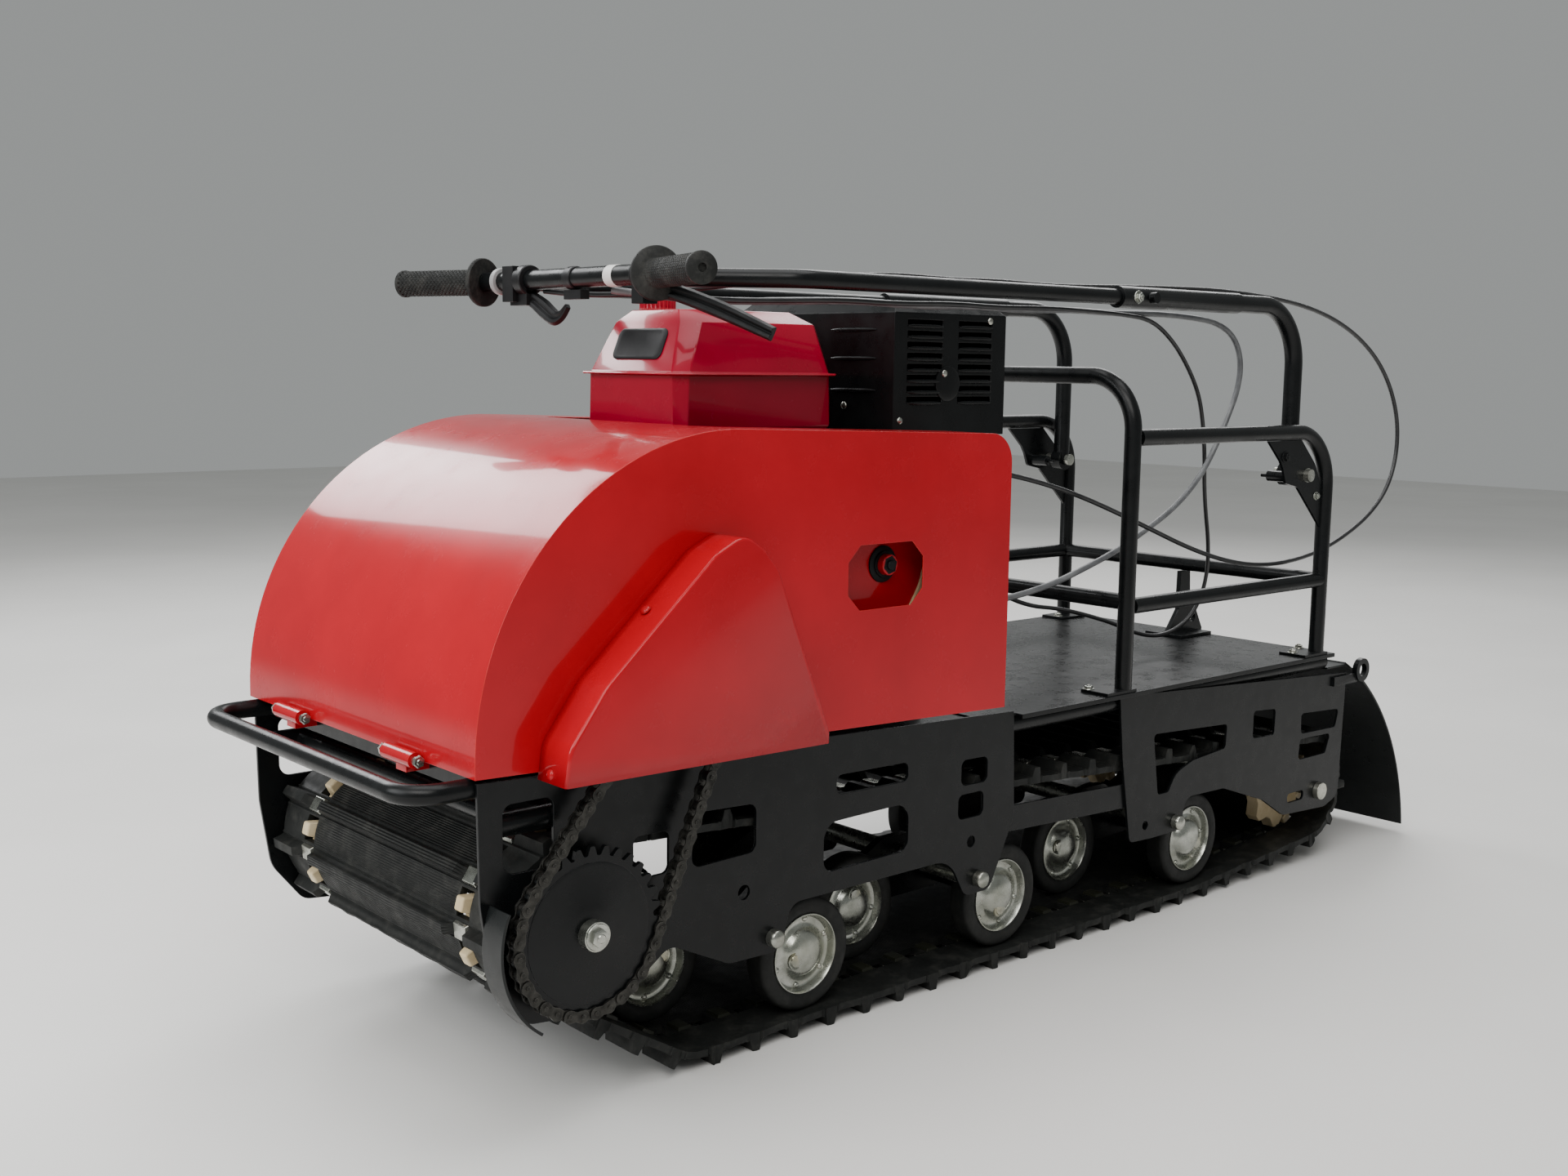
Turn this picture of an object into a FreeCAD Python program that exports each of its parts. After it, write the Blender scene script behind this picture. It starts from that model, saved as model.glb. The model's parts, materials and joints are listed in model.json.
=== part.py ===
import FreeCAD, Part
import math
import os

from FreeCAD import Vector

# Tracked snow towing vehicle with its towing handle folded forward over the hood.
# X points forward, Y to the left and Z up; the origin is on the ground under the middle.

doc = FreeCAD.newDocument("snow_tug")
sheet = doc.addObject("Spreadsheet::Sheet", "Dims")

DIMENSIONS = [
    # Track, road wheels and their rockers.
    ("wheel_radius", 65),
    ("wheel_width", 30),
    ("rim_radius", 46),
    ("tyre_sides", 24),
    ("outer_wheel_face", 222),
    ("inner_wheel_face", 142),
    ("outer_wheel_front", 392),
    ("outer_wheel_middle", 65),
    ("outer_wheel_rear", -333),
    ("inner_wheel_front", 547),
    ("inner_wheel_middle", 240),
    ("inner_wheel_rear", -159),
    ("belt_thickness", 8),
    ("belt_half", 236),
    ("lug_height", 13),
    ("lug_base", 16),
    ("lug_crest", 9),
    ("lug_pitch", 55),
    ("drive_place", 716),
    ("drive_level", 196),
    ("idler_place", -623),
    ("idler_level", 113),
    ("wrap_radius", 72),
    ("star_width", 20),
    ("star_line", 168),
    ("star_notch", 13),
    ("drive_shaft_radius", 15),
    ("idler_shaft_radius", 10),
    ("rocker_shaft_radius", 12.5),
    ("rocker_lead", 70),
    ("rocker_level", 128),
    ("rocker_width", 12),
    ("arm_line", 100),
    ("axle_radius", 9),
    ("bolt_radius", 10),
    ("bolt_head", 9),
    ("tension_bolt_radius", 13),
    ("seat_gap", 0.3),
    # Chain drive on the left side.
    ("chain_line", 266),
    ("chain_pitch", 15.875),
    ("sprocket_teeth", 32),
    ("sprocket_plate", 6),
    ("jack_teeth", 12),
    ("jack_place", 528),
    ("jack_level", 498),
    ("jack_shaft_radius", 12),
    ("jack_inner", 92),
    ("pulley_inner", 168),
    ("chain_link_width", 3),
    # Side plates, frame and bumper.
    ("plate_outer", 244),
    ("plate_wall", 4),
    ("front_plate_nose", 823),
    ("front_plate_tail", 77),
    ("rear_plate_nose", -132),
    ("rear_plate_tail", -688),
    ("rail_radius", 12),
    ("rail_front", 806),
    ("rail_rear", -640),
    ("cross_radius", 9),
    ("bumper_radius", 10),
    ("bumper_gap", 58),
    ("bumper_level", 348),
    ("bumper_bend", 36),
    ("apron_wall", 3),
    ("apron_low", 338),
    ("skid_radius", 104),
    ("skid_wall", 3),
    # Deck, flap, hitch and rack.
    ("deck_top", 322),
    ("deck_wall", 3),
    ("deck_half", 251),
    ("deck_skirt", 6),
    ("deck_rear", -640),
    ("flap_wall", 3),
    ("flap_reach", -894),
    ("flap_low", 12),
    ("flap_top", 298),
    ("eye_radius", 18),
    ("eye_bore", 10),
    ("eye_wall", 8),
    ("eye_lead", 34),
    ("eye_level", 287),
    ("rack_radius", 11),
    ("rack_half", 239),
    ("rack_front", -143),
    ("rack_rear", -606),
    ("hoop_top", 730),
    ("hoop_bend", 70),
    ("rail_top", 652),
    ("rail_bend", 80),
    ("mid_rail", 434),
    ("mid_radius", 10.5),
    ("foot_wall", 4),
    ("gusset_wall", 4),
    ("plunger_radius", 8),
    ("hitch_wall", 8),
    ("hitch_bore", 6.5),
    # Hood and what stands in it.
    ("hood_half", 246),
    ("hood_wall", 1.5),
    ("hood_top", 662),
    ("hood_rise", 22),
    ("hood_front", 826),
    ("hood_rear", 97),
    ("hood_brow", 9),
    ("hood_corner", 35),
    ("hood_low_front", 359),
    ("hood_low_rear", 334),
    ("guard_depth", 48),
    ("guard_wall", 1.5),
    ("hinge_radius", 8),
    ("hinge_length", 56),
    ("hinge_half", 122),
    ("opening_half", 166),
    ("opening_front", 496),
    ("crank_place", 276),
    ("crank_level", 517),
    ("cradle_wall", 4),
    ("cradle_top", 418),
    ("engine_front", 370),
    ("engine_rear", 130),
    ("engine_half", 125),
    ("engine_top", 640),
    ("tank_front", 474),
    ("tank_rear", 238),
    ("tank_half", 92),
    ("tank_bottom", 662),
    ("tank_seam", 728),
    ("tank_top", 800),
    ("cap_radius", 22),
    ("cover_front", 201),
    ("cover_rear", 6),
    ("cover_left", 150),
    ("cover_right", -140),
    ("cover_bottom", 656),
    ("cover_top", 816),
    ("cover_wall", 2),
    ("louvre_length", 60),
    ("louvre_pitch", 13),
    ("starter_radius", 92),
    ("pulley_radius", 88),
    ("pulley_core", 73),
    ("pulley_width", 44),
    ("pulley_flange", 9),
    ("v_belt_depth", 13),
    # Folding handle.
    ("pivot_place", -551),
    ("pivot_level", 590),
    ("leg_gap", 5),
    ("leg_radius", 12.5),
    ("leg_bend", 85),
    ("sleeve_radius", 14),
    ("sleeve_front", -135),
    ("sleeve_rear", -400),
    ("sleeve_clearance", 0.08),
    ("arm_radius", 10),
    ("arm_overlap", 210),
    ("handle_level", 830),
    ("bar_place", 559),
    ("bar_radius", 11),
    ("bar_half", 158),
    ("bar_neck", 125),
    ("grip_sweep", 17),
    ("grip_length", 130),
    ("grip_radius", 16.5),
    ("grip_flange", 28),
    ("pin_radius", 6),
]

for row, (name, number) in enumerate(DIMENSIONS, start=1):
    sheet.set("A%d" % row, name)
    sheet.set("B%d" % row, str(number))
    sheet.setAlias("B%d" % row, name)
doc.recompute()

size = {name: float(sheet.get(name)) for name, number in DIMENSIONS}
wheel_level = size["lug_height"] + size["belt_thickness"] + size["seat_gap"] + size["wheel_radius"]
SIDES = (("left", 1), ("right", -1))
nodes = []


# ---------------------------------------------------------------- drawing helpers

def rounded(points):
    # A closed outline in its own plane: each point is (a, b) or (a, b, corner radius).
    curves = []
    ends = []
    count = len(points)
    for index, point in enumerate(points):
        here = Vector(point[0], point[1], 0)
        before = Vector(points[index - 1][0], points[index - 1][1], 0)
        after = Vector(points[(index + 1) % count][0], points[(index + 1) % count][1], 0)
        radius = point[2] if len(point) > 2 else 0
        ends.append(corner(before, here, after, radius))
    for index, (start, middle, finish) in enumerate(ends):
        if middle is not None:
            curves.append(Part.Arc(start, middle, finish))
        following = ends[(index + 1) % count][0]
        if (following - finish).Length > 1e-6:
            curves.append(Part.LineSegment(finish, following))
    return curves


def corner(before, here, after, radius):
    # Start, middle and end of the arc that rounds one corner; no middle means a sharp one.
    incoming = (here - before).normalize()
    outgoing = (after - here).normalize()
    turn = incoming.getAngle(outgoing)
    if radius <= 0 or turn < 1e-6:
        return here, None, here
    reach = radius * math.tan(turn / 2)
    inward = (outgoing - incoming).normalize()
    middle = here + inward * (radius / math.cos(turn / 2) - radius)
    return here - incoming * reach, middle, here + outgoing * reach


def flat_face(points):
    return Part.Face(Part.Wire([curve.toShape() for curve in rounded(points)]))


def side_prism(points, low, high):
    # An outline drawn in X and Z, thickened across Y from low to high.
    solid = flat_face(points).extrude(Vector(0, 0, high - low))
    solid.rotate(Vector(0, 0, 0), Vector(1, 0, 0), 90)
    solid.translate(Vector(0, high, 0))
    return solid


def block(start, end):
    low = Vector(*[min(a, b) for a, b in zip(start, end)])
    span = Vector(*[abs(a - b) for a, b in zip(start, end)])
    return Part.makeBox(span.x, span.y, span.z, low)


def rod(start, end, radius):
    start = Vector(*start)
    along = Vector(*end) - start
    return Part.makeCylinder(radius, along.Length, start, along)


def joined(shapes):
    whole = shapes[0]
    if len(shapes) > 1:
        whole = whole.multiFuse(shapes[1:])
    return whole.removeSplitter()


def route_wire(points, bend):
    # Straight runs joined by tangent arcs. A bend of None makes each arc as large
    # as 0.45 of its shorter run allows, as a hanging cable bends.
    spots = [Vector(*point) for point in points]
    edges = []
    radii = []
    last = spots[0]
    for before, here, after in zip(spots, spots[1:], spots[2:]):
        turn = (here - before).getAngle(after - here)
        radius = bend
        if bend is None:
            shorter = min((here - before).Length, (after - here).Length)
            radius = 0.45 * shorter / math.tan(turn / 2)
        start, middle, finish = corner(before, here, after, radius)
        edges.append(Part.makeLine(last, start))
        edges.append(Part.Arc(start, middle, finish).toShape())
        radii.append(radius)
        last = finish
    edges.append(Part.makeLine(last, spots[-1]))
    return Part.Wire(edges), radii


def tube(points, bend, radius):
    wire, radii = route_wire(points, bend)
    start = Vector(*points[0])
    along = Vector(*points[1]) - start
    ring = Part.Wire([Part.Circle(start, along, radius).toShape()])
    return wire.makePipeShell([ring], True, False)


def both_sides(make):
    return [make(sign) for name, sign in SIDES]


# ---------------------------------------------------------------- document helpers

def keep(obj, label):
    obj.Label = label
    nodes.append(obj)
    return obj


def feature(label, shape):
    obj = doc.addObject("Part::Feature", label)
    obj.Shape = shape
    obj.Placement = shape.Placement
    return keep(obj, label)


def group(label, shapes):
    # Several solids that do not touch, kept as one node.
    return feature(label, Part.makeCompound(shapes))


def new_sketch(body, name, plane):
    sketch = body.newObject("Sketcher::SketchObject", name)
    support = [item for item in body.Origin.OriginFeatures if item.Role == plane][0]
    sketch.AttachmentSupport = [(support, "")]
    sketch.MapMode = "FlatFace"
    return sketch


def draw(sketch, outlines, holes=()):
    for outline in outlines:
        sketch.addGeometry(rounded(outline), False)
    for across, up, radius in holes:
        circle = Part.Circle(Vector(across, up, 0), Vector(0, 0, 1), radius)
        sketch.addGeometry(circle, False)


def pad_body(label, plane, outlines, holes, thickness, offset):
    # A flat piece: outlines on one origin plane, thickened evenly to both sides of it,
    # then moved by the offset formulas.
    body = doc.addObject("PartDesign::Body", label)
    sketch = new_sketch(body, label + "_outline", plane)
    draw(sketch, outlines, holes)
    pad = body.newObject("PartDesign::Pad", label + "_pad")
    pad.Profile = sketch
    pad.Midplane = True
    pad.setExpression("Length", thickness)
    for axis, formula in offset.items():
        body.setExpression("Placement.Base." + axis, formula)
    return keep(body, label)


def cut_body(body, name, plane, outlines, holes, depth):
    # A pocket through a body, cut evenly to both sides of an origin plane.
    sketch = new_sketch(body, name + "_outline", plane)
    draw(sketch, outlines, holes)
    pocket = body.newObject("PartDesign::Pocket", name)
    pocket.Profile = sketch
    pocket.Midplane = True
    pocket.setExpression("Length", depth)
    return pocket


# ---------------------------------------------------------------- track and wheels

def loop_circles():
    return [
        (size["drive_place"], size["drive_level"], size["wrap_radius"]),
        (size["idler_place"], size["idler_level"], size["wrap_radius"]),
        (size["outer_wheel_rear"], wheel_level, size["wheel_radius"] + size["seat_gap"]),
        (size["inner_wheel_front"], wheel_level, size["wheel_radius"] + size["seat_gap"]),
    ]


def loop_runs(offset, circles=None):
    # The belt line at some distance outside the wheels: for each run between two
    # circles, its two tangent points, going round the loop with the wheels inside.
    circles = circles or loop_circles()
    runs = []
    for index, (ax, az, ar) in enumerate(circles):
        bx, bz, br = circles[(index + 1) % len(circles)]
        across = Vector(bx - ax, bz - az, 0)
        tilt = math.asin((ar - br) / across.Length)
        heading = math.atan2(across.y, across.x)
        normal = heading - math.pi / 2 + tilt
        out = Vector(math.cos(normal), math.sin(normal), 0)
        start = Vector(ax, az, 0) + out * (ar + offset)
        finish = Vector(bx, bz, 0) + out * (br + offset)
        runs.append((start, finish, out))
    return runs


def direction(angle):
    return Vector(math.cos(angle), math.sin(angle), 0)


def turning(out, following):
    # The angle of one outward direction, and how far round the wheel the next one is.
    first = math.atan2(out.y, out.x)
    return first, (math.atan2(following.y, following.x) - first) % (2 * math.pi)


def loop_face(offset, circles=None):
    circles = circles or loop_circles()
    runs = loop_runs(offset, circles)
    edges = []
    for index, (start, finish, out) in enumerate(runs):
        edges.append(Part.makeLine(start, finish))
        cx, cz, radius = circles[(index + 1) % len(circles)]
        following = runs[(index + 1) % len(runs)]
        first, turn = turning(out, following[2])
        middle = Vector(cx, cz, 0) + direction(first + turn / 2) * (radius + offset)
        edges.append(Part.Arc(finish, middle, following[0]).toShape())
    return Part.Face(Part.Wire(edges))


def loop_stations(offset, pitch):
    # Evenly spaced places on the loop: point and outward direction of each.
    circles = loop_circles()
    runs = loop_runs(offset, circles)
    pieces = []
    for index, (start, finish, out) in enumerate(runs):
        pieces.append(("run", start, finish, out))
        cx, cz, radius = circles[(index + 1) % len(circles)]
        first, turn = turning(out, runs[(index + 1) % len(runs)][2])
        pieces.append(("arc", Vector(cx, cz, 0), radius + offset, first, turn))
    lengths = [(p[2] - p[1]).Length if p[0] == "run" else p[2] * p[4] for p in pieces]
    count = int(round(sum(lengths) / pitch))
    step = sum(lengths) / count
    stations = []
    for number in range(count):
        distance = (number + 0.5) * step
        for piece, length in zip(pieces, lengths):
            if distance <= length:
                break
            distance -= length
        if piece[0] == "run":
            along = (piece[2] - piece[1]).normalize()
            stations.append((piece[1] + along * distance, piece[3]))
        else:
            angle = piece[3] + distance / piece[2]
            out = direction(angle)
            stations.append((piece[1] + out * piece[2], out))
    return stations


def upright(shape, low):
    # Turns a solid drawn on X and Y into the X-Z plane, reaching from low upwards in Y.
    height = shape.BoundBox.ZLength
    shape.rotate(Vector(0, 0, 0), Vector(1, 0, 0), 90)
    shape.translate(Vector(0, low + height, 0))
    return shape


def make_track():
    width = 2 * size["belt_half"]
    belt = loop_face(size["belt_thickness"]).cut(loop_face(0)).Faces[0]
    solids = [belt.extrude(Vector(0, 0, width))]
    sink = size["belt_thickness"] / 2
    for point, out in loop_stations(size["belt_thickness"], size["lug_pitch"]):
        side = Vector(-out.y, out.x, 0)
        foot = point - out * sink
        crest = point + out * size["lug_height"]
        corners = [
            foot + side * (size["lug_base"] / 2),
            crest + side * (size["lug_crest"] / 2),
            crest - side * (size["lug_crest"] / 2),
            foot - side * (size["lug_base"] / 2),
        ]
        outline = Part.makePolygon(corners + corners[:1])
        solids.append(Part.Face(outline).extrude(Vector(0, 0, width)))
    feature("track", upright(joined(solids), -size["belt_half"]))


def wheel_places(kind):
    return [size[kind + "_wheel_" + place] for place in ("front", "middle", "rear")]


def make_wheels():
    tyres = []
    discs = []
    sides = int(size["tyre_sides"])
    tread = tyre_outline(size["wheel_radius"], sides)
    bore = tyre_outline(size["rim_radius"] / math.cos(math.pi / sides), sides)
    for kind in ("outer", "inner"):
        face = size[kind + "_wheel_face"]
        back = face - size["wheel_width"]
        for place in wheel_places(kind):
            for name, sign in SIDES:
                low, high = sorted((sign * back, sign * face))
                tyre = side_prism(tread, low, high).cut(side_prism(bore, low, high))
                tyre.translate(Vector(place, 0, wheel_level))
                tyres.append(tyre)
                discs.append(make_disc(place, sign, face))
    group("road_tyres", tyres)
    group("road_discs", discs)


def tyre_outline(radius, sides):
    # A regular outline about the wheel's own middle, with one corner straight down.
    angles = [2 * math.pi * number / sides - math.pi / 2 for number in range(sides)]
    return [(radius * math.cos(angle), radius * math.sin(angle)) for angle in angles]


def make_disc(place, sign, face):
    # A pressed wheel disc: a rim band, a dished web, a raised dome and a hub behind it.
    # Each point of the profile is a radius and a depth, counted outwards from the wheel's face.
    rim = size["rim_radius"] - size["seat_gap"] / 3
    band = size["wheel_width"] / 2
    wall = 3
    bore = size["axle_radius"]
    profile = [
        (0, 1), (14, 0), (26, -3), (34, -8), (rim - wall, -9), (rim - wall, -2), (rim, -2), (rim, -2 - band),
        (rim - wall, -2 - band), (rim - wall, -12), (34, -11), (bore + 8, -9), (bore + 8, -20), (bore, -20),
        (bore, -4), (0, -4),
    ]
    spots = [Vector(radius, 0, depth) for radius, depth in profile]
    outline = Part.Face(Part.makePolygon(spots + spots[:1]))
    disc = outline.revolve(Vector(0, 0, 0), Vector(0, 0, 1), 360)
    disc.rotate(Vector(0, 0, 0), Vector(1, 0, 0), -90 * sign)
    disc.translate(Vector(place, sign * face, wheel_level))
    return disc


def make_rockers():
    # Each rocker turns on a cross shaft and carries an inner wheel ahead, an outer one behind.
    # Its arms hang inside the wheels.
    arms = []
    shafts = []
    reach = plate_reach()
    half = size["rocker_width"] / 2
    level = size["rocker_level"]
    radius = size["rocker_shaft_radius"]
    axle = size["axle_radius"] - size["seat_gap"]
    for ahead, behind in zip(wheel_places("inner"), wheel_places("outer")):
        pivot = behind + size["rocker_lead"]
        shafts.append(rod((pivot, -reach, level), (pivot, reach, level), radius))
        for name, sign in SIDES:
            low = sign * (size["arm_line"] - half)
            high = sign * (size["arm_line"] + half)
            outline = [
                (behind - 16, wheel_level - 16, 12), (ahead + 16, wheel_level - 16, 12),
                (ahead + 16, wheel_level + 14, 12), (pivot + 24, level + 22, 20),
                (pivot - 24, level + 22, 20), (behind - 16, wheel_level + 14, 12),
            ]
            arm = side_prism(outline, min(low, high), max(low, high))
            arm = arm.cut(rod((pivot, low, level), (pivot, high, level), radius + size["seat_gap"]))
            outer_end = sign * (size["outer_wheel_face"] - 4 - size["seat_gap"])
            inner_end = sign * (size["inner_wheel_face"] - 4 - size["seat_gap"])
            axle_out = rod((behind, low, wheel_level), (behind, outer_end, wheel_level), axle)
            axle_in = rod((ahead, low, wheel_level), (ahead, inner_end, wheel_level), axle)
            arms.append(joined([arm, axle_out, axle_in]))
            shafts.append(plate_bolt(pivot, sign, level, size["bolt_radius"]))
    group("rocker_arms", arms)
    return shafts


def plate_reach():
    # Half the width between the insides of the side plates.
    return size["plate_outer"] - size["plate_wall"]


def plate_bolt(place, sign, level, radius):
    plate = sign * size["plate_outer"]
    head = sign * (size["plate_outer"] + size["bolt_head"])
    return rod((place, plate, level), (place, head, level), radius)


def star_outline(place, level, radius, notch, teeth):
    points = []
    for number in range(2 * teeth):
        reach = radius if number % 2 == 0 else radius - notch
        for lead in (-0.22, 0.22):
            angle = (number + lead) * math.pi / teeth
            points.append((place + reach * math.cos(angle), level + reach * math.sin(angle)))
    return points


def make_stars(place, level, shaft_radius):
    stars = []
    outline = star_outline(place, level, size["wrap_radius"] - size["seat_gap"], size["star_notch"], 8)
    half = size["star_width"] / 2
    for name, sign in SIDES:
        middle = sign * size["star_line"]
        star = side_prism(outline, middle - half, middle + half)
        bore = rod((place, middle - half, level), (place, middle + half, level), shaft_radius)
        stars.append(star.cut(bore))
    return stars


def make_axles(shafts):
    # The star wheels, and every shaft across the machine with the bolts at its ends.
    drive = (size["drive_place"], size["drive_level"])
    idler = (size["idler_place"], size["idler_level"])
    reach = plate_reach()
    stars = make_stars(drive[0], drive[1], size["drive_shaft_radius"])
    stars += make_stars(idler[0], idler[1], size["idler_shaft_radius"])
    group("track_stars", stars)
    outer = size["chain_line"] + size["sprocket_plate"] / 2 + 14
    shafts.append(rod((drive[0], -reach, drive[1]), (drive[0], outer, drive[1]), size["drive_shaft_radius"]))
    shafts.append(rod((idler[0], -reach, idler[1]), (idler[0], reach, idler[1]), size["idler_shaft_radius"]))
    shafts += both_sides(lambda sign: plate_bolt(idler[0], sign, idler[1], size["tension_bolt_radius"]))
    group("cross_shafts", shafts)


# ---------------------------------------------------------------- chain drive

def pitch_radius(teeth):
    return size["chain_pitch"] / (2 * math.sin(math.pi / teeth))


def make_sprocket():
    teeth = int(size["sprocket_teeth"])
    place = size["drive_place"]
    level = size["drive_level"]
    root = pitch_radius(teeth) - 4
    points = []
    for number in range(teeth):
        for lead, reach in ((0.12, root), (0.36, root + 8), (0.64, root + 8), (0.88, root)):
            angle = (number + lead) * 2 * math.pi / teeth
            points.append((place + reach * math.cos(angle), level + reach * math.sin(angle)))
    half = size["sprocket_plate"] / 2
    line = size["chain_line"]
    disc = side_prism(points, line - half, line + half)
    hub = rod((place, line - half - 10, level), (place, line + half + 6, level), 26)
    shaft = size["drive_shaft_radius"] + 0.1
    bore = rod((place, line - half - 10, level), (place, line + half + 6, level), shaft)
    feature("drive_sprocket", joined([disc, hub]).cut(bore))


def make_pulley(place, level, inner_end, outer_end, shaft_radius):
    # Two flanges and a core, on the shaft that turns them.
    low = size["pulley_inner"]
    high = low + size["pulley_width"]
    flange = size["pulley_flange"]
    return [
        rod((place, low, level), (place, low + flange, level), size["pulley_radius"]),
        rod((place, high - flange, level), (place, high, level), size["pulley_radius"]),
        rod((place, low, level), (place, high, level), size["pulley_core"]),
        rod((place, inner_end, level), (place, outer_end, level), shaft_radius),
    ]


def make_belt_drive():
    crank = (size["crank_place"], size["crank_level"])
    jack = (size["jack_place"], size["jack_level"])
    line = size["chain_line"]
    half = size["sprocket_plate"] / 2
    low = size["pulley_inner"]
    high = low + size["pulley_width"]
    shaft = size["jack_shaft_radius"]
    drive = make_pulley(crank[0], crank[1], size["engine_half"], high + 14, shaft)
    feature("drive_pulley", joined(drive))
    driven = make_pulley(jack[0], jack[1], size["jack_inner"], line + half + 8, shaft)
    small = rod((jack[0], line - half, jack[1]), (jack[0], line + half, jack[1]), jack_root())
    feature("jackshaft", joined(driven + [small]))
    gap = size["seat_gap"]
    seat = size["pulley_core"] + gap
    circles = [(jack[0], jack[1], seat), (crank[0], crank[1], seat)]
    ring = loop_face(size["v_belt_depth"], circles).cut(loop_face(0, circles)).Faces[0]
    thick = size["pulley_width"] - 2 * size["pulley_flange"] - 2 * gap
    feature("drive_belt", upright(ring.extrude(Vector(0, 0, thick)), low + size["pulley_flange"] + gap))


def jack_root():
    return pitch_radius(int(size["jack_teeth"])) - 4


def make_chain():
    # Two rows of link plates beside the sprockets, tied by rollers on the free runs.
    place = size["drive_place"]
    level = size["drive_level"]
    big = pitch_radius(int(size["sprocket_teeth"]))
    small = pitch_radius(int(size["jack_teeth"]))
    circles = [(size["jack_place"], size["jack_level"], small), (place, level, big)]
    link = 5
    band = loop_face(link, circles).cut(loop_face(-link, circles)).Faces[0]
    line = size["chain_line"]
    half = size["sprocket_plate"] / 2 + size["seat_gap"]
    width = size["chain_link_width"]
    pieces = [
        upright(band.extrude(Vector(0, 0, width)), line + half),
        upright(band.extrude(Vector(0, 0, width)), line - half - width),
    ]
    for start, finish, out in loop_runs(0, circles):
        along = finish - start
        count = int(along.Length / size["chain_pitch"]) - 2
        step = along.normalize() * size["chain_pitch"]
        for number in range(1, count):
            spot = start + step * (number + 0.5)
            start_corner = (spot.x - 3, line - half, spot.y - 3)
            pieces.append(block(start_corner, (spot.x + 3, line + half, spot.y + 3)))
    feature("drive_chain", joined(pieces))


def make_chain_guard():
    # A pressed box over the chain, open to the hood and downwards.
    low = size["hood_half"] + size["seat_gap"]
    high = low + size["guard_depth"]
    wall = size["guard_wall"]
    nose = size["hood_front"] - 67
    foot = size["hood_low_front"]
    outline = [
        (nose, foot - 9), (nose - 5, foot + 26, 30), (nose - 46, foot + 81, 60), (nose - 176, foot + 197, 40),
        (nose - 213, foot + 215, 20), (nose - 240, foot + 197, 20), (nose - 258, foot + 176, 20),
        (nose - 331, foot - 1), (nose - 331, foot - 13),
    ]
    outer = side_prism(outline, low, high)
    inner_wire = flat_face(outline).OuterWire.makeOffset2D(-wall)
    inner = Part.Face(inner_wire).extrude(Vector(0, 0, size["guard_depth"]))
    inner.rotate(Vector(0, 0, 0), Vector(1, 0, 0), 90)
    inner.translate(Vector(0, high - wall, 0))
    drop = inner.copy()
    drop.translate(Vector(0, 0, -2 * wall))
    feature("chain_guard", outer.cut(inner).cut(drop))


# ---------------------------------------------------------------- side plates and frame

def make_front_plates():
    nose = size["front_plate_nose"]
    tail = size["front_plate_tail"]
    level = size["rocker_level"]
    ahead = size["outer_wheel_front"] + size["rocker_lead"]
    behind = size["outer_wheel_middle"] + size["rocker_lead"]
    outline = [
        (nose, size["hood_low_front"] - 4), (nose - 2, 237, 60), (nose - 14, 158, 40), (nose - 52, 110, 20),
        (nose - 110, 104, 40), (640, 122, 60), (600, 150, 20), (ahead + 60, 112, 30),
        (ahead - 14, level - 18, 20), (ahead - 26, 160, 20), (behind + 50, 160, 40),
        (behind + 22, level - 18, 16), (behind - 22, level - 18, 16), (tail - 6, 194, 30),
        (tail, size["hood_low_rear"] - 8),
    ]
    windows = [
        [(nose - 83, 262, 10), (nose - 27, 262, 14), (nose - 27, 330, 10), (nose - 83, 330, 10)],
        [(602, 228, 8), (646, 228, 8), (646, 272, 8), (602, 272, 8)],
        [(486, 228, 10), (572, 226, 10), (572, 284, 10), (486, 280, 10)],
        [(258, 268, 8), (370, 270, 8), (370, 292, 8), (258, 290, 8)],
        [(256, 186, 14), (388, 184, 14), (388, 240, 20), (256, 242, 20)],
        [(122, 246, 8), (168, 247, 8), (168, 278, 8), (122, 277, 8)],
        [(128, 206, 8), (172, 206, 8), (172, 236, 8), (128, 236, 8)],
    ]
    holes = [(148, 176, 7), (502, 186, 8)]
    holes.append((size["drive_place"], size["drive_level"], size["drive_shaft_radius"] + size["seat_gap"]))
    make_plate_pair("side_plate_front", [outline] + windows, holes)


def make_rear_plates():
    nose = size["rear_plate_nose"]
    tail = size["rear_plate_tail"]
    level = size["rocker_level"]
    pivot = size["outer_wheel_rear"] + size["rocker_lead"]
    slot = size["idler_level"]
    outline = [
        (nose, 318), (nose - 10, 234), (nose - 32, 116, 10), (nose - 78, 114, 10),
        (pivot + 20, level - 14, 14), (pivot - 16, level - 14, 14), (pivot - 22, 158, 20), (-376, 156, 20),
        (-477, 122, 20), (-532, 90, 30), (-645, 84, 30), (tail + 6, 96, 20), (tail, 286),
    ]
    windows = [
        [
            (-208, 257, 6), (-378, 248, 6), (-376, 214, 6), (-300, 208, 30), (-262, 196, 30),
            (-246, 172, 8), (-222, 172, 6),
        ],
        [(-443, 258, 6), (-499, 254, 6), (-498, 216, 6), (-443, 218, 6)],
        [(-568, 238, 6), (-672, 232, 6), (-664, 205, 6), (-570, 207, 6)],
        [(-568, 199, 6), (-652, 197, 6), (-640, 168, 6), (-566, 168, 6)],
        [(-542, slot + 7, 6), (-585, slot + 7, 6), (-585, slot - 7, 6), (-542, slot - 7, 6)],
    ]
    holes = [(-197, 134, 6)]
    make_plate_pair("side_plate_rear", [outline] + windows, holes)


def make_plate_pair(label, outlines, holes):
    for name, sign in SIDES:
        middle = "%d * (Dims.plate_outer - Dims.plate_wall / 2)" % sign
        pad_body(label + "_" + name, "XZ_Plane", outlines, holes, "Dims.plate_wall", {"y": middle})


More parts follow.
